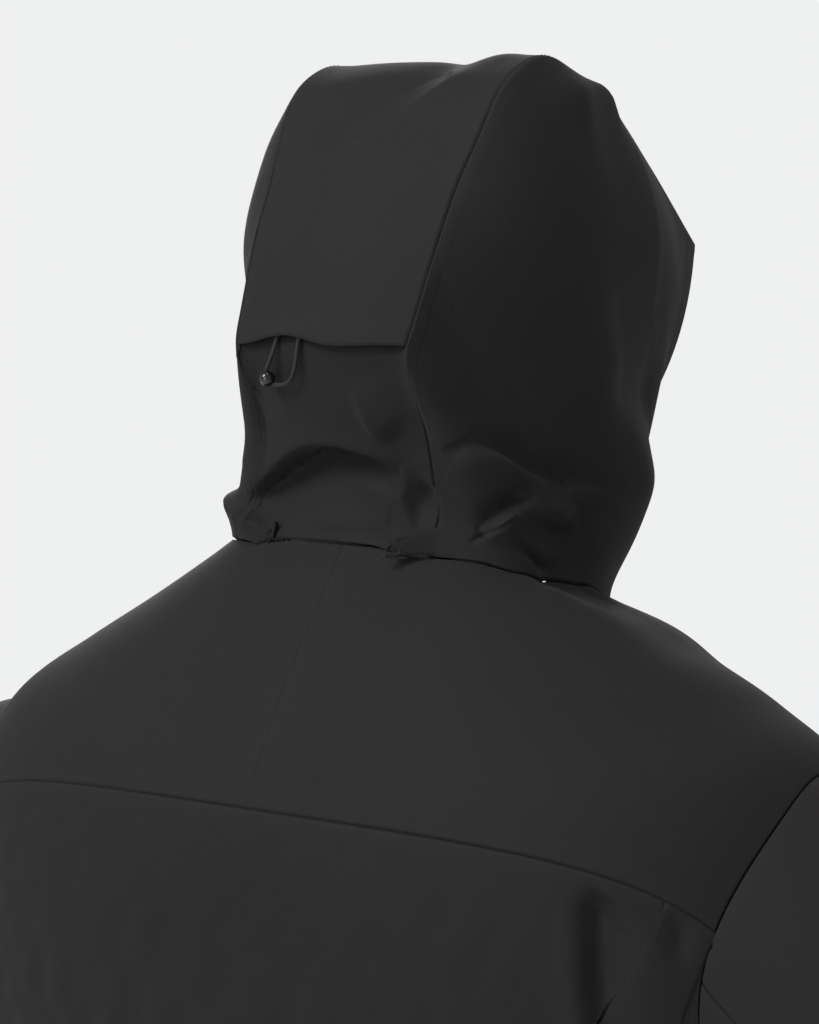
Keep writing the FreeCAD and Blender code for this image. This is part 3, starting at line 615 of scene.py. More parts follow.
# ---- cloth panels ----
def stations(length, spacing, low, high):
    """Distances along one way of a panel, closer together beside its edges."""
    start = np.array(EDGE_STATIONS if low else (0.0,))
    end = length - np.array(EDGE_STATIONS if high else (0.0,))[::-1]
    count = max(3, round((end[0] - start[-1]) / spacing))
    return np.concatenate([start, np.linspace(start[-1], end[0], count + 1)[1:-1], end]) / length


def arc(points, axis):
    """Running length along one axis of a grid of points."""
    step = np.linalg.norm(np.diff(points, axis=axis), axis=-1)
    zero = np.zeros_like(np.take(step, [0], axis=axis))
    return np.concatenate([zero, np.cumsum(step, axis=axis)], axis=axis)


def grid_normals(points, ring):
    """Unit normals of a grid; ring joins its first and last rows."""
    if ring:
        wrapped = np.concatenate([points[-2:-1], points, points[1:2]])
        down = np.gradient(wrapped, axis=0)[1:-1]
    else:
        down = np.gradient(points, axis=0)
    return unit(np.cross(down, np.gradient(points, axis=1)))


def edge_gaps(points, edges):
    """Distance of each point from the seams (s, S) and from the hemmed edges (h, H)."""
    along, across = arc(points, 0), arc(points, 1)
    gaps = (along, along[-1:] - along, across, across[:, -1:] - across)
    far = np.full(points.shape[:2], 1.0)
    seam, hem = far.copy(), far.copy()
    for gap, kind in zip(gaps, edges):
        if kind in "sS":
            seam = np.minimum(seam, gap)
        elif kind == "f":
            seam = np.minimum(seam, gap + FAINT_GAP)
        elif kind in "hH":
            hem = np.minimum(hem, gap)
    return seam, hem


def edge_track(points, outward, edge, inset):
    """The line that runs inset metres inside one edge of a grid, with its normals."""
    grid, up = points, outward
    if edge in (1, 3):
        grid, up = grid[::-1, ::-1], up[::-1, ::-1]
    if edge in (2, 3):
        grid, up = grid.transpose(1, 0, 2), up.transpose(1, 0, 2)
    run = arc(grid, 0)
    line, face = [], []
    for j in range(grid.shape[1]):
        line.append([np.interp(inset, run[:, j], grid[:, j, k]) for k in range(3)])
        face.append([np.interp(inset, run[:, j], up[:, j, k]) for k in range(3)])
    return np.array(line), unit(np.array(face))


def rod_faces(count):
    """Faces of a row of closed rods, each of four rings of four points."""
    quads = [(k * 4 + c, k * 4 + (c + 1) % 4, k * 4 + 4 + (c + 1) % 4, k * 4 + 4 + c)
             for k in range(3) for c in range(4)] + [(3, 2, 1, 0), (12, 13, 14, 15)]
    return (np.array(quads)[None] + 16 * np.arange(count)[:, None, None]).reshape(-1, 4)


def stitch_mesh(line, face):
    """Short raised threads along a track: vertices and quads."""
    run = np.concatenate([[0], np.cumsum(np.linalg.norm(np.diff(line, axis=0), axis=1))])
    count = int((run[-1] - 0.006) / STITCH_PITCH)
    if count < 2:
        return np.zeros((0, 3)), np.zeros((0, 4), int)
    start = 0.003 + STITCH_PITCH * np.arange(count)

    def at(s, what):
        return np.stack([np.interp(s, run, what[:, k]) for k in range(3)], axis=-1)

    rings = []
    shares = ((0.0, -0.6, 0.5), (0.3, 0.35, 1.0), (0.7, 0.35, 1.0), (1.0, -0.6, 0.5))
    for share, lift, girth in shares:
        centre = at(start + share * STITCH_LENGTH, line)
        up = unit(at(start + share * STITCH_LENGTH, face))
        ahead = unit(at(start + STITCH_LENGTH, line) - at(start, line))
        across = np.cross(ahead, up)
        middle = centre + up * lift * THREAD
        reach = THREAD * girth * 0.5
        rings += [middle + way * reach for way in (across, up, -across, -up)]
    return np.stack(rings, axis=1).reshape(-1, 3), rod_faces(count)


def grid_quads(rows, columns, ring):
    """Corner numbers of the quads of a grid; ring joins the last row to the first."""
    i, j = np.meshgrid(np.arange(rows if ring else rows - 1), np.arange(columns - 1), indexing="ij")
    a, b = i * columns + j, ((i + 1) % rows) * columns + j
    return np.stack([a, b, b + 1, a + 1], axis=-1).reshape(-1, 4)


def boundary_loops(rows, columns, ring):
    """The edge loops of a grid, each with the neighbours that lie one step inside."""
    index = np.arange(rows * columns).reshape(rows, columns)
    if ring:
        return [(index[:, 0], index[:, 1]), (index[:, -1], index[:, -2])]
    loop = np.concatenate([index[:-1, 0], index[-1, :-1], index[:0:-1, -1], index[0, :0:-1]])
    inner = np.concatenate([index[:-1, 1], index[-2, :-1], index[:0:-1, -2], index[1, :0:-1]])
    return [(loop, inner)]


def new_object(name, vertices, faces, materials, slots, uv=None, edge=None):
    mesh = bpy.data.meshes.new(name)
    mesh.vertices.add(len(vertices))
    mesh.vertices.foreach_set("co", np.asarray(vertices, np.float32).ravel())
    mesh.loops.add(faces.size)
    mesh.loops.foreach_set("vertex_index", faces.ravel().astype(np.int32))
    mesh.polygons.add(len(faces))
    mesh.polygons.foreach_set("loop_start", np.arange(0, faces.size, 4, dtype=np.int32))
    mesh.update(calc_edges=True)
    mesh.polygons.foreach_set("material_index", np.asarray(slots, np.int32))
    mesh.polygons.foreach_set("use_smooth", np.ones(len(faces), bool))
    if uv is not None:
        layer = mesh.uv_layers.new(name="cloth")
        layer.data.foreach_set("uv", np.asarray(uv, np.float32)[faces.ravel()].ravel())
    if edge is not None:
        attribute = mesh.attributes.new("edge", "FLOAT", "POINT")
        attribute.data.foreach_set("value", np.asarray(edge, np.float32))
    for material in materials:
        mesh.materials.append(material)
    mesh.validate()
    obj = bpy.data.objects.new(name, mesh)
    bpy.context.scene.collection.objects.link(obj)
    return obj


def cloth_shell(name, points, outward, edges, materials, thickness=CLOTH, ring=False):
    """A closed cloth shell with grooved seams, folded hems and stitches."""
    face = grid_normals(points, ring)
    if (face * outward).sum() < 0:
        face = -face
    seam, hem = edge_gaps(points, edges)
    drop = -SEAM_DEPTH * (1 - smooth(seam / SEAM_WIDTH))
    allowance = 1 - smooth((seam - ALLOWANCE_WIDTH) / 0.002)
    drop = drop + ALLOWANCE_RISE * allowance * smooth(seam / SEAM_WIDTH)
    folded = 1 - smooth((hem - HEM_FOLD) / 0.0015)
    points = points + face * drop[..., None]
    thick = thickness * (1 + 0.9 * folded)
    tracks = [edge_track(points, face, k, HEM_FOLD - 0.002 if kind == "H" else STITCH_INSET)
              for k, kind in enumerate(edges) if kind in "SH"]
    if ring:
        points, face, seam, thick, hem = points[:-1], face[:-1], seam[:-1], thick[:-1], hem[:-1]
    rows, columns = points.shape[:2]
    outer, normal = points.reshape(-1, 3), face.reshape(-1, 3)
    inner = outer - normal * thick.reshape(-1, 1)
    u, v = arc(points, 1).ravel(), arc(points, 0).ravel()
    uv = np.stack([u, v], axis=-1)
    gap = np.minimum(seam, hem).ravel()
    quads = grid_quads(rows, columns, ring)
    vertices, uvs, gaps = [outer, inner], [uv, uv], [gap, gap]
    faces, slots = [quads, quads[:, ::-1] + len(outer)], [0] * len(quads) + [1] * len(quads)
    total = 2 * len(outer)
    for loop, inside in boundary_loops(rows, columns, ring):
        out = outer[loop] - outer[inside]
        out = unit(out - (out * normal[loop]).sum(-1, keepdims=True) * normal[loop])
        reach = thick.reshape(-1, 1)[loop] / 2
        vertices.append((outer[loop] + inner[loop]) / 2 + out * reach)
        uvs.append(uv[loop])
        gaps.append(gap[loop])
        middle = total + np.arange(len(loop))
        total += len(loop)
        after, mid_after = np.roll(loop, -1), np.roll(middle, -1)
        faces.append(np.stack([loop, middle, mid_after, after], axis=-1))
        faces.append(np.stack([middle, loop + len(outer), after + len(outer), mid_after], axis=-1))
        slots += [0] * (2 * len(loop))
    for line, up in tracks:
        threads, quads = stitch_mesh(line, up)
        vertices.append(threads)
        uvs.append(threads[:, :2])
        gaps.append(np.zeros(len(threads)))
        faces.append(quads + total)
        slots += [2] * len(quads)
        total += len(threads)
    obj = new_object(name, np.concatenate(vertices), np.concatenate(faces), materials, slots,
                     np.concatenate(uvs), np.concatenate(gaps))
    make_consistent(obj)
    return obj


def make_consistent(obj):
    """Turns every face outwards and keeps sharp rims sharp."""
    work = bmesh.new()
    work.from_mesh(obj.data)
    bmesh.ops.recalc_face_normals(work, faces=work.faces)
    work.to_mesh(obj.data)
    work.free()
    obj.data.set_sharp_from_angle(angle=math.radians(65))


def relaxed(points, rounds):
    """Evens out creases inside a grid; its edges stay where they are."""
    for _ in range(rounds):
        middle = (points[:-2, 1:-1] + points[2:, 1:-1] + points[1:-1, :-2] + points[1:-1, 2:]) / 4
        points = points.copy()
        points[1:-1, 1:-1] = middle
    return points


def panel(name, surface, place, edges, side=1, height=None, thickness=CLOTH, ring=False,
          region="body", spacing=SPACING, materials=None, relax=0):
    """A cloth piece on part of a base surface; side is -1 for the mirrored one."""
    coarse = np.linspace(0, 1, 13)
    p, q = np.meshgrid(coarse, coarse, indexing="ij")
    rough = surface(*place(p, q))
    p_length, q_length = arc(rough, 0)[-1].max(), arc(rough, 1)[:, -1].max()
    marked = [kind in "sShHf" for kind in edges]
    p = stations(p_length, spacing, marked[0], marked[1])
    q = stations(q_length, spacing, marked[2], marked[3])
    p, q = np.meshgrid(p, q, indexing="ij")
    a, b = place(p, q)
    points, outward = surface(a, b), normals(surface, a, b)
    if height is not None:
        points = points + outward * height(p, q)[..., None]
    if side < 0:
        points, outward = points * FLIP, outward * FLIP
    if relax:
        points = relaxed(points, relax)
    flat = points.reshape(-1, 3)
    moved = flat + fold_moves(flat, outward.reshape(-1, 3), region) + drape(flat)
    points = moved.reshape(points.shape)
    return cloth_shell(name, points, outward, edges, materials or SHELL_CLOTH, thickness, ring)


# ---- materials ----
class Shader:
    """A Principled material with its nodes; keeps the node calls short."""

    def __init__(self, name, **sockets):
        self.material = bpy.data.materials.new(name)
        self.material.use_nodes = True
        self.tree = self.material.node_tree
        self.base = self.tree.nodes["Principled BSDF"]
        for socket, value in sockets.items():
            self.base.inputs[socket.replace("_", " ")].default_value = value

    def node(self, kind, links=(), **values):
        made = self.tree.nodes.new("ShaderNode" + kind)
        for key, value in values.items():
            setattr(made, key, value)
        for socket, source in dict(links).items():
            if isinstance(source, bpy.types.NodeSocket):
                self.tree.links.new(source, made.inputs[socket])
            else:
                made.inputs[socket].default_value = source
        return made

    def link(self, source, socket):
        self.tree.links.new(source, self.base.inputs[socket])


def ramp(shader, factor, low, high, start=0.3, end=0.7):
    """Colour that runs from low to high as the factor goes from start to end."""
    made = shader.node("ValToRGB", {"Fac": factor})
    made.color_ramp.elements[0].position, made.color_ramp.elements[0].color = start, (*low, 1)
    made.color_ramp.elements[1].position, made.color_ramp.elements[1].color = end, (*high, 1)
    return made.outputs["Color"]


def number(shader, factor, low, high, start=0.3, end=0.7):
    made = shader.node("MapRange", {"Value": factor, "From Min": start, "From Max": end,
                                    "To Min": low, "To Max": high})
    return made.outputs["Result"]


def cloth_material(name, dark, light, rough, thread=0.0007, grain=0.5, tape=None):
    """Plain-weave laminate: fine threads both ways, soft blotches, wear at the edges."""
    s = Shader(name, Sheen_Weight=0.05, Sheen_Roughness=0.5, Specular_IOR_Level=0.16)
    s.base.inputs["Sheen Tint"].default_value = (1.0, 0.93, 0.88, 1)
    place = s.node("TexCoord").outputs["Object"]
    flat = s.node("UVMap", uv_map="cloth").outputs["UV"]
    weave = []
    for scale in ((1 / thread, 0.12 / thread, 1), (0.12 / thread, 1 / thread, 1)):
        mapped = s.node("Mapping", {"Vector": flat, "Scale": scale}).outputs["Vector"]
        weave.append(s.node("TexNoise", {"Vector": mapped, "Scale": 1.0, "Detail": 2.0}).outputs["Fac"])
    threads = s.node("Math", {0: weave[0], 1: weave[1]}, operation="ADD").outputs[0]
    blotch = s.node("TexNoise", {"Vector": place, "Scale": 9.0, "Detail": 3.0}).outputs["Fac"]
    crumple = s.node("TexNoise", {"Vector": place, "Scale": 85.0, "Detail": 4.0,
                                  "Roughness": 0.6}).outputs["Fac"]
    edge = s.node("Attribute", attribute_name="edge").outputs["Fac"]
    near = s.node("Math", {0: edge, 1: -260.0}, operation="MULTIPLY").outputs[0]
    wear = s.node("Math", {0: 2.718, 1: near}, operation="POWER").outputs[0]
    mottled = s.node("Mix", {"Factor": 0.55, 2: blotch, 3: threads}, data_type="FLOAT").outputs[0]
    tone = ramp(s, mottled, dark, light, 0.35, 0.75)
    worn = s.node("Mix", {"Factor": number(s, wear, 0.0, 0.30, 0.0, 1.0), 6: tone,
                          7: (light[0] * 1.5, light[1] * 1.5, light[2] * 1.5, 1)}, data_type="RGBA")
    colour = worn.outputs[2]
    roughness = number(s, mottled, rough - 0.06, rough + 0.08)
    if tape is not None:
        band = s.node("Math", {0: edge, 1: 0.011}, operation="LESS_THAN").outputs[0]
        taped = s.node("Mix", {"Factor": band, 6: colour, 7: (*tape, 1)}, data_type="RGBA")
        colour = taped.outputs[2]
        roughness = s.node("Mix", {"Factor": band, 2: roughness, 3: 0.42}, data_type="FLOAT").outputs[0]
    s.link(colour, "Base Color")
    s.link(roughness, "Roughness")
    soft = s.node("Bump", {"Height": crumple, "Strength": 0.25, "Distance": 0.0006})
    fine = s.node("Bump", {"Height": threads, "Strength": grain, "Distance": 0.00012,
                           "Normal": soft.outputs["Normal"]})
    s.link(fine.outputs["Normal"], "Normal")
    return s.material


def hard_material(name, dark, light, rough, scale, depth, metallic=0.0, coat=0.0, **sockets):
    """Moulded or cast material with fine grain and uneven gloss."""
    s = Shader(name, Metallic=metallic, Coat_Weight=coat, **sockets)
    place = s.node("TexCoord").outputs["Object"]
    grain = s.node("TexNoise", {"Vector": place, "Scale": scale, "Detail": 4.0}).outputs["Fac"]
    broad = s.node("TexNoise", {"Vector": place, "Scale": scale * 0.06, "Detail": 2.0}).outputs["Fac"]
    both = s.node("Mix", {"Factor": 0.5, 2: grain, 3: broad}, data_type="FLOAT").outputs[0]
    s.link(ramp(s, both, dark, light), "Base Color")
    s.link(number(s, both, rough - 0.07, rough + 0.07), "Roughness")
    bump = s.node("Bump", {"Height": grain, "Strength": 0.4, "Distance": depth})
    s.link(bump.outputs["Normal"], "Normal")
    return s.material


def ribbed_material(name, dark, light, rough, rib):
    """Woven tape or braid: slanting ribs both ways."""
    s = Shader(name, Sheen_Weight=0.2, Sheen_Roughness=0.4)
    place = s.node("TexCoord").outputs["Object"]
    ribs = [s.node("TexWave", {"Vector": place, "Scale": 1 / rib, "Distortion": 0.6},
                   bands_direction=way).outputs["Fac"] for way in ("DIAGONAL", "Z")]
    both = s.node("Math", {0: ribs[0], 1: ribs[1]}, operation="MULTIPLY").outputs[0]
    s.link(ramp(s, both, dark, light, 0.1, 0.8), "Base Color")
    s.link(number(s, both, rough - 0.05, rough + 0.1, 0.0, 1.0), "Roughness")
    bump = s.node("Bump", {"Height": both, "Strength": 0.6, "Distance": rib * 0.15})
    s.link(bump.outputs["Normal"], "Normal")
    return s.material


SHELL = cloth_material("shell_laminate", (0.0085, 0.0076, 0.0086), (0.0190, 0.0172, 0.0190), 0.60)
LINING = cloth_material("tricot_backer", (0.030, 0.029, 0.031), (0.044, 0.043, 0.046), 0.78, thread=0.0009,
                        tape=(0.016, 0.016, 0.018))
BINDING = cloth_material("edge_laminate", (0.015, 0.014, 0.015), (0.022, 0.020, 0.021), 0.55)
THREADS = hard_material("sewing_thread", (0.018, 0.017, 0.018), (0.032, 0.030, 0.031), 0.55, 1800.0,
                        0.00005)
WEBBING = ribbed_material("webbing", (0.014, 0.014, 0.015), (0.034, 0.033, 0.034), 0.6, 0.0016)
BRAID = ribbed_material("elastic_braid", (0.012, 0.012, 0.013), (0.030, 0.029, 0.030), 0.55, 0.0009)
HARDWARE = hard_material("painted_cast_metal", (0.020, 0.020, 0.021), (0.035, 0.034, 0.035), 0.36, 700.0,
                         0.00004, coat=0.4)
MOULDED = hard_material("moulded_trim", (0.016, 0.016, 0.017), (0.027, 0.026, 0.027), 0.48, 1500.0, 0.00006)
TEETH = hard_material("nylon_coil", (0.012, 0.012, 0.013), (0.024, 0.023, 0.024), 0.38, 1200.0, 0.00004)
BEAD = hard_material("glossy_bead", (0.008, 0.008, 0.009), (0.014, 0.013, 0.014), 0.14, 220.0,
                     0.00002, coat=0.8)
FOAM = hard_material("brim_foam", (0.026, 0.026, 0.028), (0.045, 0.044, 0.047), 0.8, 1100.0, 0.0001)
SHELL_CLOTH = (SHELL, LINING, THREADS)
TRIM_CLOTH = (BINDING, LINING, THREADS)
LINING_CLOTH = (LINING, LINING, THREADS)


# ---- camera: from behind and to the wearer's right, a little above the neck ----
CAMERA_AT, CAMERA_TURN, CAMERA_DOWN, LENS = (-1.10819, 1.41842, 0.2), 38.4328, 5.9183, 124.08


def make_camera():
    turn, down = math.radians(CAMERA_TURN), math.radians(-CAMERA_DOWN)
    look = Vector((math.sin(turn) * math.cos(down), -math.cos(turn) * math.cos(down), math.sin(down)))
    data = bpy.data.cameras.new("camera")
    data.lens, data.sensor_width, data.clip_end = LENS, 36.0, 50.0
    camera = bpy.data.objects.new("camera", data)
    camera.location = CAMERA_AT
    camera.rotation_mode = "QUATERNION"
    camera.rotation_quaternion = look.to_track_quat("-Z", "Y")
    bpy.context.scene.collection.objects.link(camera)
    bpy.context.scene.camera = camera


def light(name, place, target, size, power, colour):
    data = bpy.data.lights.new(name, "AREA")
    data.shape, data.size, data.energy, data.color = "DISK", size, power, colour
    lamp = bpy.data.objects.new(name, data)
    lamp.location = place
    lamp.rotation_mode = "QUATERNION"
    lamp.rotation_quaternion = (Vector(target) - Vector(place)).to_track_quat("-Z", "Y")
    bpy.context.scene.collection.objects.link(lamp)


def make_studio():
    world = bpy.data.worlds.new("studio")
    world.use_nodes = True
    world.node_tree.nodes["Background"].inputs["Color"].default_value = (0.94, 0.96, 1.0, 1)
    world.node_tree.nodes["Background"].inputs["Strength"].default_value = 0.30
    bpy.context.scene.world = world
    bpy.context.scene.view_settings.view_transform = "Standard"
    floor_z = cad_low.z - 0.012
    turns = np.linspace(0, 2 * np.pi, 97)[:-1]
    rim = [(2.6 * math.cos(a), 2.6 * math.sin(a), floor_z) for a in turns]
    mesh = bpy.data.meshes.new("floor")
    mesh.from_pydata(rim, [], [tuple(range(len(rim)))])
    floor = bpy.data.objects.new("floor", mesh)
    paint = Shader("floor_paint", Roughness=0.8, Specular_IOR_Level=0.2)
    paint.base.inputs["Base Color"].default_value = (0.80, 0.805, 0.81, 1)
    floor.data.materials.append(paint.material)
    bpy.context.scene.collection.objects.link(floor)
    bpy.ops.mesh.primitive_uv_sphere_add(segments=48, ring_count=24, radius=14.0)
    backdrop = bpy.context.object
    backdrop.name = "backdrop"
    glow = Shader("backdrop_paper", Emission_Strength=1.0, Specular_IOR_Level=0.0)
    glow.base.inputs["Base Color"].default_value = (0, 0, 0, 1)
    glow.base.inputs["Emission Color"].default_value = (0.863, 0.871, 0.871, 1)
    backdrop.data.materials.append(glow.material)
    backdrop.visible_diffuse = backdrop.visible_glossy = backdrop.visible_shadow = False
    light("key", (1.0, 1.9, 1.8), (0, 0, 0), 1.2, 38.0, (1.0, 0.985, 0.975))
    light("top", (-0.2, 0.1, 2.6), (0, 0, 0), 1.5, 12.0, (1.0, 0.98, 0.96))
    light("rim", (-2.2, -0.9, 0.9), (0, 0, 0.1), 1.0, 3.5, (1.0, 0.93, 0.86))
    light("back_fill", (0.0, 2.6, 0.3), (0, 0, 0), 1.8, 12.0, (1.0, 0.99, 1.0))
    light("front_fill", (1.8, -1.9, 0.8), (0, 0, -0.2), 1.8, 24.0, (1.0, 0.99, 0.98))


# ---- adjuster cord and bead ----
def make_cord():
    curve = bpy.data.curves.new("hood_adjuster_line", "CURVE")
    curve.dimensions = "3D"
    curve.resolution_u = 24
    spline = curve.splines.new("NURBS")
    spline.points.add(len(CORD_ROUTE) - 1)
    for point, place in zip(spline.points, CORD_ROUTE):
        point.co = (*place, 1)
    spline.order_u = 3
    spline.use_endpoint_u = True
    guide = bpy.data.objects.new("hood_adjuster_line", curve)
    bpy.context.scene.collection.objects.link(guide)
    line = bpy.data.meshes.new_from_object(guide)
    path = np.array([v.co[:] for v in line.vertices])
    bpy.data.objects.remove(guide)
    bpy.data.meshes.remove(line)
    cord = braided_tube("hood_cord", path, CORD_DIAMETER / 2)
    bead = make_bead(path)
    for piece, node, slot in ((cord, "hood_adjuster_cord", "elastic_cord"),
                              (bead, "hood_adjuster_bead", "bead")):
        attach(piece, "adjuster")
        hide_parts(node)
    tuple(CORD_ROUTE[0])


def braided_tube(name, path, radius, around=20, rib=0.0011, relief=0.045):
    """A tube with the crossing ribs of a braid on its surface."""
    run = np.concatenate([[0], np.cumsum(np.linalg.norm(np.diff(path, axis=0), axis=1))])
    at = np.linspace(0, run[-1], int(run[-1] / (rib / 4)))
    line = np.stack([np.interp(at, run, path[:, k]) for k in range(3)], axis=-1)
    ahead = unit(np.gradient(line, axis=0))
    up = unit(np.cross(ahead, (0.0, 1.0, 0.0)))
    side = np.cross(ahead, up)
    turn = 2 * np.pi * np.arange(around) / around
    phase = 2 * np.pi * at[:, None] / rib
    ribs = np.sin(5 * turn + phase) * np.sin(5 * turn - phase)
    reach = (radius * (1 - relief + relief * ribs))[..., None]
    rings = line[:, None] + reach * (np.cos(turn)[None, :, None] * up[:, None]
                                     + np.sin(turn)[None, :, None] * side[:, None])
    vertices = np.concatenate([rings.reshape(-1, 3), line[:1], line[-1:]])
    quads = grid_quads(around, len(at), True)
    i, j = quads // len(at), quads % len(at)
    faces = j * around + i
    caps = []
    for ring, tip in ((0, len(vertices) - 2), (len(at) - 1, len(vertices) - 1)):
        for k in range(0, around, 2):
            start = ring * around
            caps.append((tip, start + k, start + k + 1, start + (k + 2) % around))
    faces = np.concatenate([faces, np.array(caps)])
    tube = new_object(name, vertices, faces, (BRAID,), [0] * len(faces))
    make_consistent(tube)
    return tube


def make_bead(path):
    """A round bead, dimpled where the two ends of the cord go into it."""
    centre = np.array(BEAD_AT)
    gap = np.linalg.norm(path - centre, axis=1)
    inside = np.flatnonzero(gap < BEAD_RADIUS)
    holes = [unit(path[inside[0] - 1] - centre), unit(path[inside[-1] + 1] - centre)]
    rows, columns = 40, 64
    polar = np.pi * (np.arange(rows) + 0.5) / rows
    turn = 2 * np.pi * np.arange(columns) / columns
    way = stack(np.sin(polar)[:, None] * np.cos(turn), np.sin(polar)[:, None] * np.sin(turn),
                np.cos(polar)[:, None])
    reach = np.full(way.shape[:2], BEAD_RADIUS)
    for hole in holes:
        angle = np.arccos(np.clip(way @ hole, -1, 1))
        reach = reach - 0.0008 * np.exp(-((angle / 0.36) ** 4))
    points = (centre + way * reach[..., None]).transpose(1, 0, 2)
    quads = grid_quads(columns, rows, True)
    vertices = np.concatenate([points.reshape(-1, 3), centre[None] + [[0, 0, BEAD_RADIUS]],
                               centre[None] - [[0, 0, BEAD_RADIUS]]])
    caps = []
    for row, tip in ((0, len(vertices) - 2), (rows - 1, len(vertices) - 1)):
        for k in range(0, columns, 2):
            caps.append((tip, k * rows + row, (k + 1) * rows + row, ((k + 2) % columns) * rows + row))
    faces = np.concatenate([quads, np.array(caps)])
    bead = new_object("hood_bead", vertices, faces, (BEAD,), [0] * len(faces))
    make_consistent(bead)
    return bead


def on_garment(piece, slot, *nodes):
    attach(piece, "garment")
    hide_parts(*nodes)


def on_hood(piece, slot, *nodes):
    """Bakes a hood cloth piece's placement into its mesh and hides the CAD pieces it replaces."""
    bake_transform(piece)
    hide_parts(*nodes)


def both_sides(name, surface, place, edges, slot="shell_fabric", **options):
    for side, word in ((1, "left"), (-1, "right")):
        piece = panel(f"{name}_{word}_cloth", surface, place, edges, side, **options)
        on_garment(piece, slot, f"{name}_{word}")


def make_torso():
    both_sides("yoke", BODY, yoke_place, "fSSs")
    piece = panel("back_panel_cloth", BODY, back_place, "SSss")
    on_garment(piece, "shell_fabric", "back_panel")
    both_sides("side_panel", BODY, side_place, "ssss")
    both_sides("front_panel", BODY, front_place, "sSss")
    piece = panel("hem_band_cloth", BODY, hem_place, "hhSh", thickness=HEM_CLOTH)
    on_garment(piece, "shell_fabric", "hem_band")


def make_sleeves():
    both_sides("upper_sleeve", ARM, upper_place, "SSss")
    both_sides("under_sleeve", ARM, under_place, "ssss")
    both_sides("cuff", ARM, cuff_place, "nnSh", thickness=HEM_CLOTH, ring=True)


def flap_end(q):
    """Hood position of the flap's free edge, which is drawn up over the cord."""
    lift = 0.010 * np.exp(-(((q - 0.33) / 0.42) ** 2)) + 0.007 * smooth(-q)
    return FLAP_EDGE - 0.005 - lift


def flap_place(p, q):
    across = 2 * q - 1
    return mix(BRIM_SEAM, flap_end(across), p), across


NAPE_TOP, NAPE_FOOT = 0.72, 0.998       # hood positions where the nape panel starts and ends
NAPE_DIVE = 0.0084      # how deep its top lies under the flap


def wing_start(r):
    """Hood position of the nape panel's left seam, which flares out to the shoulder."""
    return 0.775 + 0.140 * np.clip(r, 0, 1) ** 0.8


def nape_surface(a, b):
    """Nape panel: a from its top to the neck seam, b across it (-1 to 1 on the centre
    strip, 1 to 2 on the wing that it has on the wearer's left)."""
    strip_start = NAPE_TOP + 0.055 * np.abs(np.clip(b, -1, 1)) ** 6
    s = mix(np.where(b > 1, wing_start(b - 1), strip_start), NAPE_FOOT, a)
    return np.where((b > 1)[..., None], settled_side(s, b - 1), settled_strip(s, b))


def nape_place(p, q):
    return p, mix(-1.0, 2.0, q)


def nape_height(p, q):
    """The nape panel dives under the flap, and meets the sides level."""
    s = mix(NAPE_TOP, NAPE_FOOT, p)
    dive = -NAPE_DIVE + 0.0028 * smooth((s - NAPE_TOP) / 0.045) + 0.0056 * smooth((s - 0.785) / 0.06)
    return dive * np.clip(1 - np.abs(mix(-1.0, 2.0, q)) ** 10, 0, 1)


def side_start_left(p, q):
    return mix(0.0, wing_start(q), p), q


def make_hood():
    for name, surface, place, edges, options in (
            ("hood_brim", STRIP, patch(0.0, BRIM_SEAM, -1, 1), "Hsss", {}),
            ("hood_centre_panel", STRIP, flap_place, "ShSS", {}),
            ("hood_nape_panel", nape_surface, nape_place, "sssn", {"height": nape_height, "relax": 6})):
        piece = panel(name + "_cloth", surface, place, edges, region="hood", spacing=HOOD_SPACING,
                      **options)
        on_hood(piece, "shell_fabric", name)
    for side, word, place in ((1, "left", side_start_left), (-1, "right", patch(0.0, 0.995, 0.0, 1.0))):
        piece = panel(f"hood_side_{word}_cloth", SIDE, place, "Hnss", side, region="hood",
                      spacing=HOOD_SPACING)
        on_hood(piece, "shell_fabric", "hood_side_" + word, "collar_" + word)


def collar_line(s):
    """Rib position of the plane through the nape that divides hood and collar."""
    low, high = np.zeros_like(s), np.ones_like(s)
    for _ in range(30):
        r = (low + high) / 2
        place = hood_side(s, r)
        above = place[..., 2] > 0.003 + 0.24 * (0.075 - place[..., 1])
        low, high = np.where(above, r, low), np.where(above, high, r)
    return low


def make_linings():
    def binding(p, q):
        s = mix(0.0, 0.022, p)
        return s, mix(0.02, 0.98, q)

    def inner_collar(p, q):
        s = mix(0.03, 0.35, p)
        return s, mix(collar_line(s) + 0.04, 0.92, q)

    def bag(p, q):
        v = mix(6.7, 9.3, q)
        return mix(share_at(0.06, v), share_at(0.185, v), p), v

    for side, word in ((1, "left"), (-1, "right")):
        piece = panel(f"face_binding_{word}_cloth", SIDE, binding, "sHnn", side, region="hood",
                      height=lambda p, q: np.full(p.shape, -0.0021), materials=TRIM_CLOTH)
        on_hood(piece, "shell_fabric", "face_binding_" + word)
        piece = panel(f"inner_collar_{word}_cloth", SIDE, inner_collar, "ssss", side, region="hood",
                      height=lambda p, q: np.full(p.shape, -0.0042), materials=LINING_CLOTH)
        on_hood(piece, "lining_fabric", "inner_collar_" + word)
        piece = panel(f"pocket_bag_{word}_cloth", BODY, bag, "ssss", side,
                      height=lambda p, q: np.full(p.shape, -0.0055), materials=LINING_CLOTH, spacing=0.008)
        on_garment(piece, "lining_fabric", "pocket_bag_" + word)


def zip_strip(name, node, low_x, high_x, z0, z1, depth, materials, edges, slot):
    """A narrow cloth strip behind the front zip, at this depth behind its line."""
    def plane(a, b):
        return stack(a, zip_y(b) + depth, b)

    def place(p, q):
        return mix(low_x, high_x, q), mix(z0, z1, p)

    piece = panel(name, plane, place, edges, materials=materials, region="none", spacing=0.006)
    on_garment(piece, slot, node)


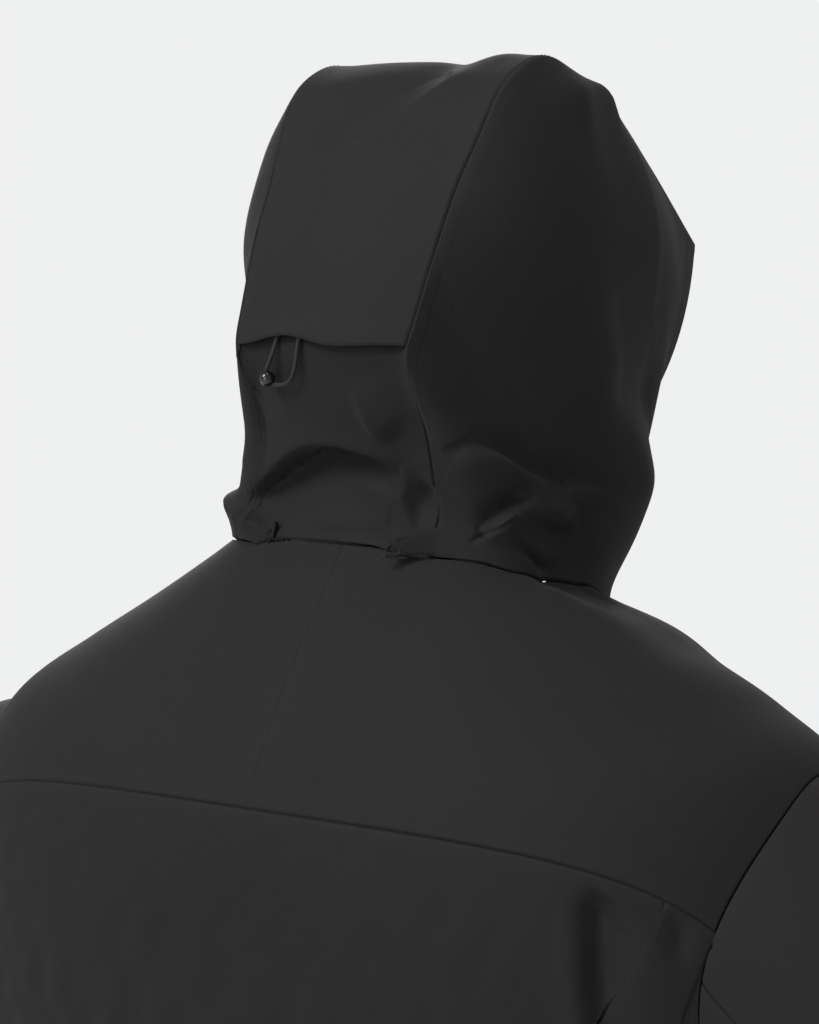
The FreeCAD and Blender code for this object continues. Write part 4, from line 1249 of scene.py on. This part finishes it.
def make_front_closure():
    low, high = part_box("storm_flap")
    zip_strip("storm_flap_cloth", "storm_flap", low.x, high.x, high.z, low.z, 0.0044, TRIM_CLOTH, "nnSs",
              "lining_fabric")
    low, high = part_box("chin_guard")
    zip_strip("chin_guard_cloth", "chin_guard", low.x, high.x, high.z, low.z, 0.0044, TRIM_CLOTH, "hnss",
              "lining_fabric")
    for word in ("left", "right"):
        low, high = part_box("zip_tape_" + word)
        zip_strip(f"zip_tape_{word}_cloth", "zip_tape_" + word, low.x, high.x, high.z, low.z, 0.0024,
                  (WEBBING, WEBBING, THREADS), "nnnn", "webbing")
        low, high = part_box("zip_coil_" + word)
        teeth = make_teeth(f"zip_teeth_{word}", 1 if word == "left" else -1, low.z, high.z)
        on_garment(teeth, "zip_coil", "zip_coil_" + word)


TOOTH_PITCH, TOOTH_SIZE = 0.0026, (0.0023, 0.0018, 0.0015)


def make_teeth(name, side, low_z, high_z):
    """One row of rounded zip teeth, half a pitch out of step with the other row."""
    count = int((high_z - low_z) / TOOTH_PITCH)
    z = high_z - 0.001 - TOOTH_PITCH * (np.arange(count) + (0.25 if side > 0 else 0.75))
    centre = stack(side * (0.0001 + TOOTH_SIZE[0] / 2), zip_y(z) + 0.0014, z)
    rounded = []
    for z_share, grow in ((-0.5, 0.7), (-0.25, 1.0), (0.25, 1.0), (0.5, 0.7)):
        for x, y in ((-1, -1), (1, -1), (1, 1), (-1, 1)):
            rounded.append((x * grow * TOOTH_SIZE[0] / 2, y * grow * TOOTH_SIZE[1] / 2,
                            z_share * TOOTH_SIZE[2]))
    vertices = (centre[:, None] + np.array(rounded)[None]).reshape(-1, 3)
    faces = rod_faces(count)
    teeth = new_object(name, vertices, faces, (TEETH,), [0] * len(faces))
    make_consistent(teeth)
    return teeth


# ---- pocket zips: a welded strip with two lips over the coil ----
HAND_POCKET = (0.150, -0.452, 0.128, -0.612)
CHEST_POCKET = (0.104, -0.206, 0.112, -0.338)
POCKET_LIFT = 0.0026
LIP_PROFILE = [(-0.0105, 0.006), (-0.0095, 0.0022), (-0.008, 0.0014), (-0.0062, 0.0011), (-0.002, 0.0008),
               (-0.0009, 0.0003), (-0.0004, 0.0010), (0.0004, 0.0010), (0.0009, 0.0003), (0.002, 0.0008),
               (0.0062, 0.0011), (0.008, 0.0014), (0.0095, 0.0022), (0.0105, 0.006)]


def pocket_line(line):
    """Top, foot and outward normal of a straight zip lying on the front panel."""
    ends = []
    for x, z in (line[:2], line[2:]):
        low, high = 2.0, 10.0
        for _ in range(40):
            v = np.array((low + high) / 2)
            above = torso(share_at(x, v), v)[2] > z
            low, high = (float(v), high) if above else (low, float(v))
        ends.append((share_at(x, v), v))
    top, foot = [torso(*end) + normals(torso, *end) * POCKET_LIFT for end in ends]
    t, v = [(ends[0][i] + ends[1][i]) / 2 for i in range(2)]
    return top, foot, normals(torso, t, v)


def make_pocket_zip(name, node, line, side=1):
    top, foot, out = pocket_line(line)
    up = unit(top - foot)
    out = unit(out - up * (out @ up))
    across = np.cross(out, up)
    length = np.linalg.norm(top - foot)
    runs = np.concatenate([[-0.004, -0.002], np.linspace(0, length, 40), [length + 0.002, length + 0.004]])
    sink = np.concatenate([[0.006, 0.0015], np.zeros(40), [0.0015, 0.006]])
    profile = np.array(LIP_PROFILE)
    points = (top - up * runs[:, None])[:, None] + across * profile[None, :, :1]
    points = points - out * np.maximum(profile[None, :, 1:], sink[:, None, None])
    outward = np.broadcast_to(out, points.shape)
    if side < 0:
        points, outward = points * FLIP, outward * FLIP
    strip = cloth_shell(name, points, outward, "nnnn", (BINDING, TEETH, THREADS))
    on_garment(strip, "zip_coil", node)


def make_pockets():
    make_pocket_zip("hand_zip_left", "pocket_zip_left", HAND_POCKET)
    make_pocket_zip("hand_zip_right", "pocket_zip_right", HAND_POCKET, -1)
    make_pocket_zip("chest_zip_strip", "chest_zip", CHEST_POCKET)


# ---- hanger loop ----
def make_hanger():
    low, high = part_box("hanger_loop")
    width = high.x - low.x
    centre = Vector(((low.x + high.x) / 2, (low.y + high.y) / 2, high.z))
    turns = np.linspace(-0.06, np.pi + 0.06, 40)
    rows = []
    for reach in (width / 2, width / 2 - 0.0025, width / 2 - 0.005):
        rows.append([(centre.x + reach * math.cos(a), centre.y - 0.0006, centre.z - reach * math.sin(a))
                     for a in turns])
    points = np.array(rows)
    outward = np.broadcast_to(np.array([0.0, -1.0, 0.0]), points.shape)
    loop = cloth_shell("hanger_loop_tape", points, outward, "nnnn", (WEBBING, WEBBING, THREADS), 0.0012)
    on_garment(loop, "webbing", "hanger_loop")


# ---- CAD pieces that keep their shape ----
def finish_cad_parts():
    kept = {"slider": (HARDWARE, "hardware"), "puller": (MOULDED, "moulded_trim"),
            "eyelets": (HARDWARE, "hardware"), "brim_stiffener": (FOAM, "moulded_trim"),
            "cord_lock": (MOULDED, "moulded_trim"), "stops": (MOULDED, "moulded_trim"),
            "bottom_box": (MOULDED, "moulded_trim"), "loop_patch": (WEBBING, "webbing"),
            "cuff_tab": (MOULDED, "moulded_trim")}
    for name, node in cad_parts.items():
        if node.hide_render:
            continue
        for word, (material, slot) in kept.items():
            if word in name:
                node.data.materials.clear()
                node.data.materials.append(material)
                weld = node.modifiers.new("weld", "WELD")
                weld.merge_threshold = 0.00001
                bevel = node.modifiers.new("bevel", "BEVEL")
                bevel.width, bevel.segments, bevel.limit_method = 0.00025, 2, "ANGLE"
                bevel.angle_limit = math.radians(40)
                break


make_camera()
make_cord()
simulate()
make_torso()
make_sleeves()
make_hood()
make_linings()
make_front_closure()
make_pockets()
make_hanger()
finish_cad_parts()
make_studio()
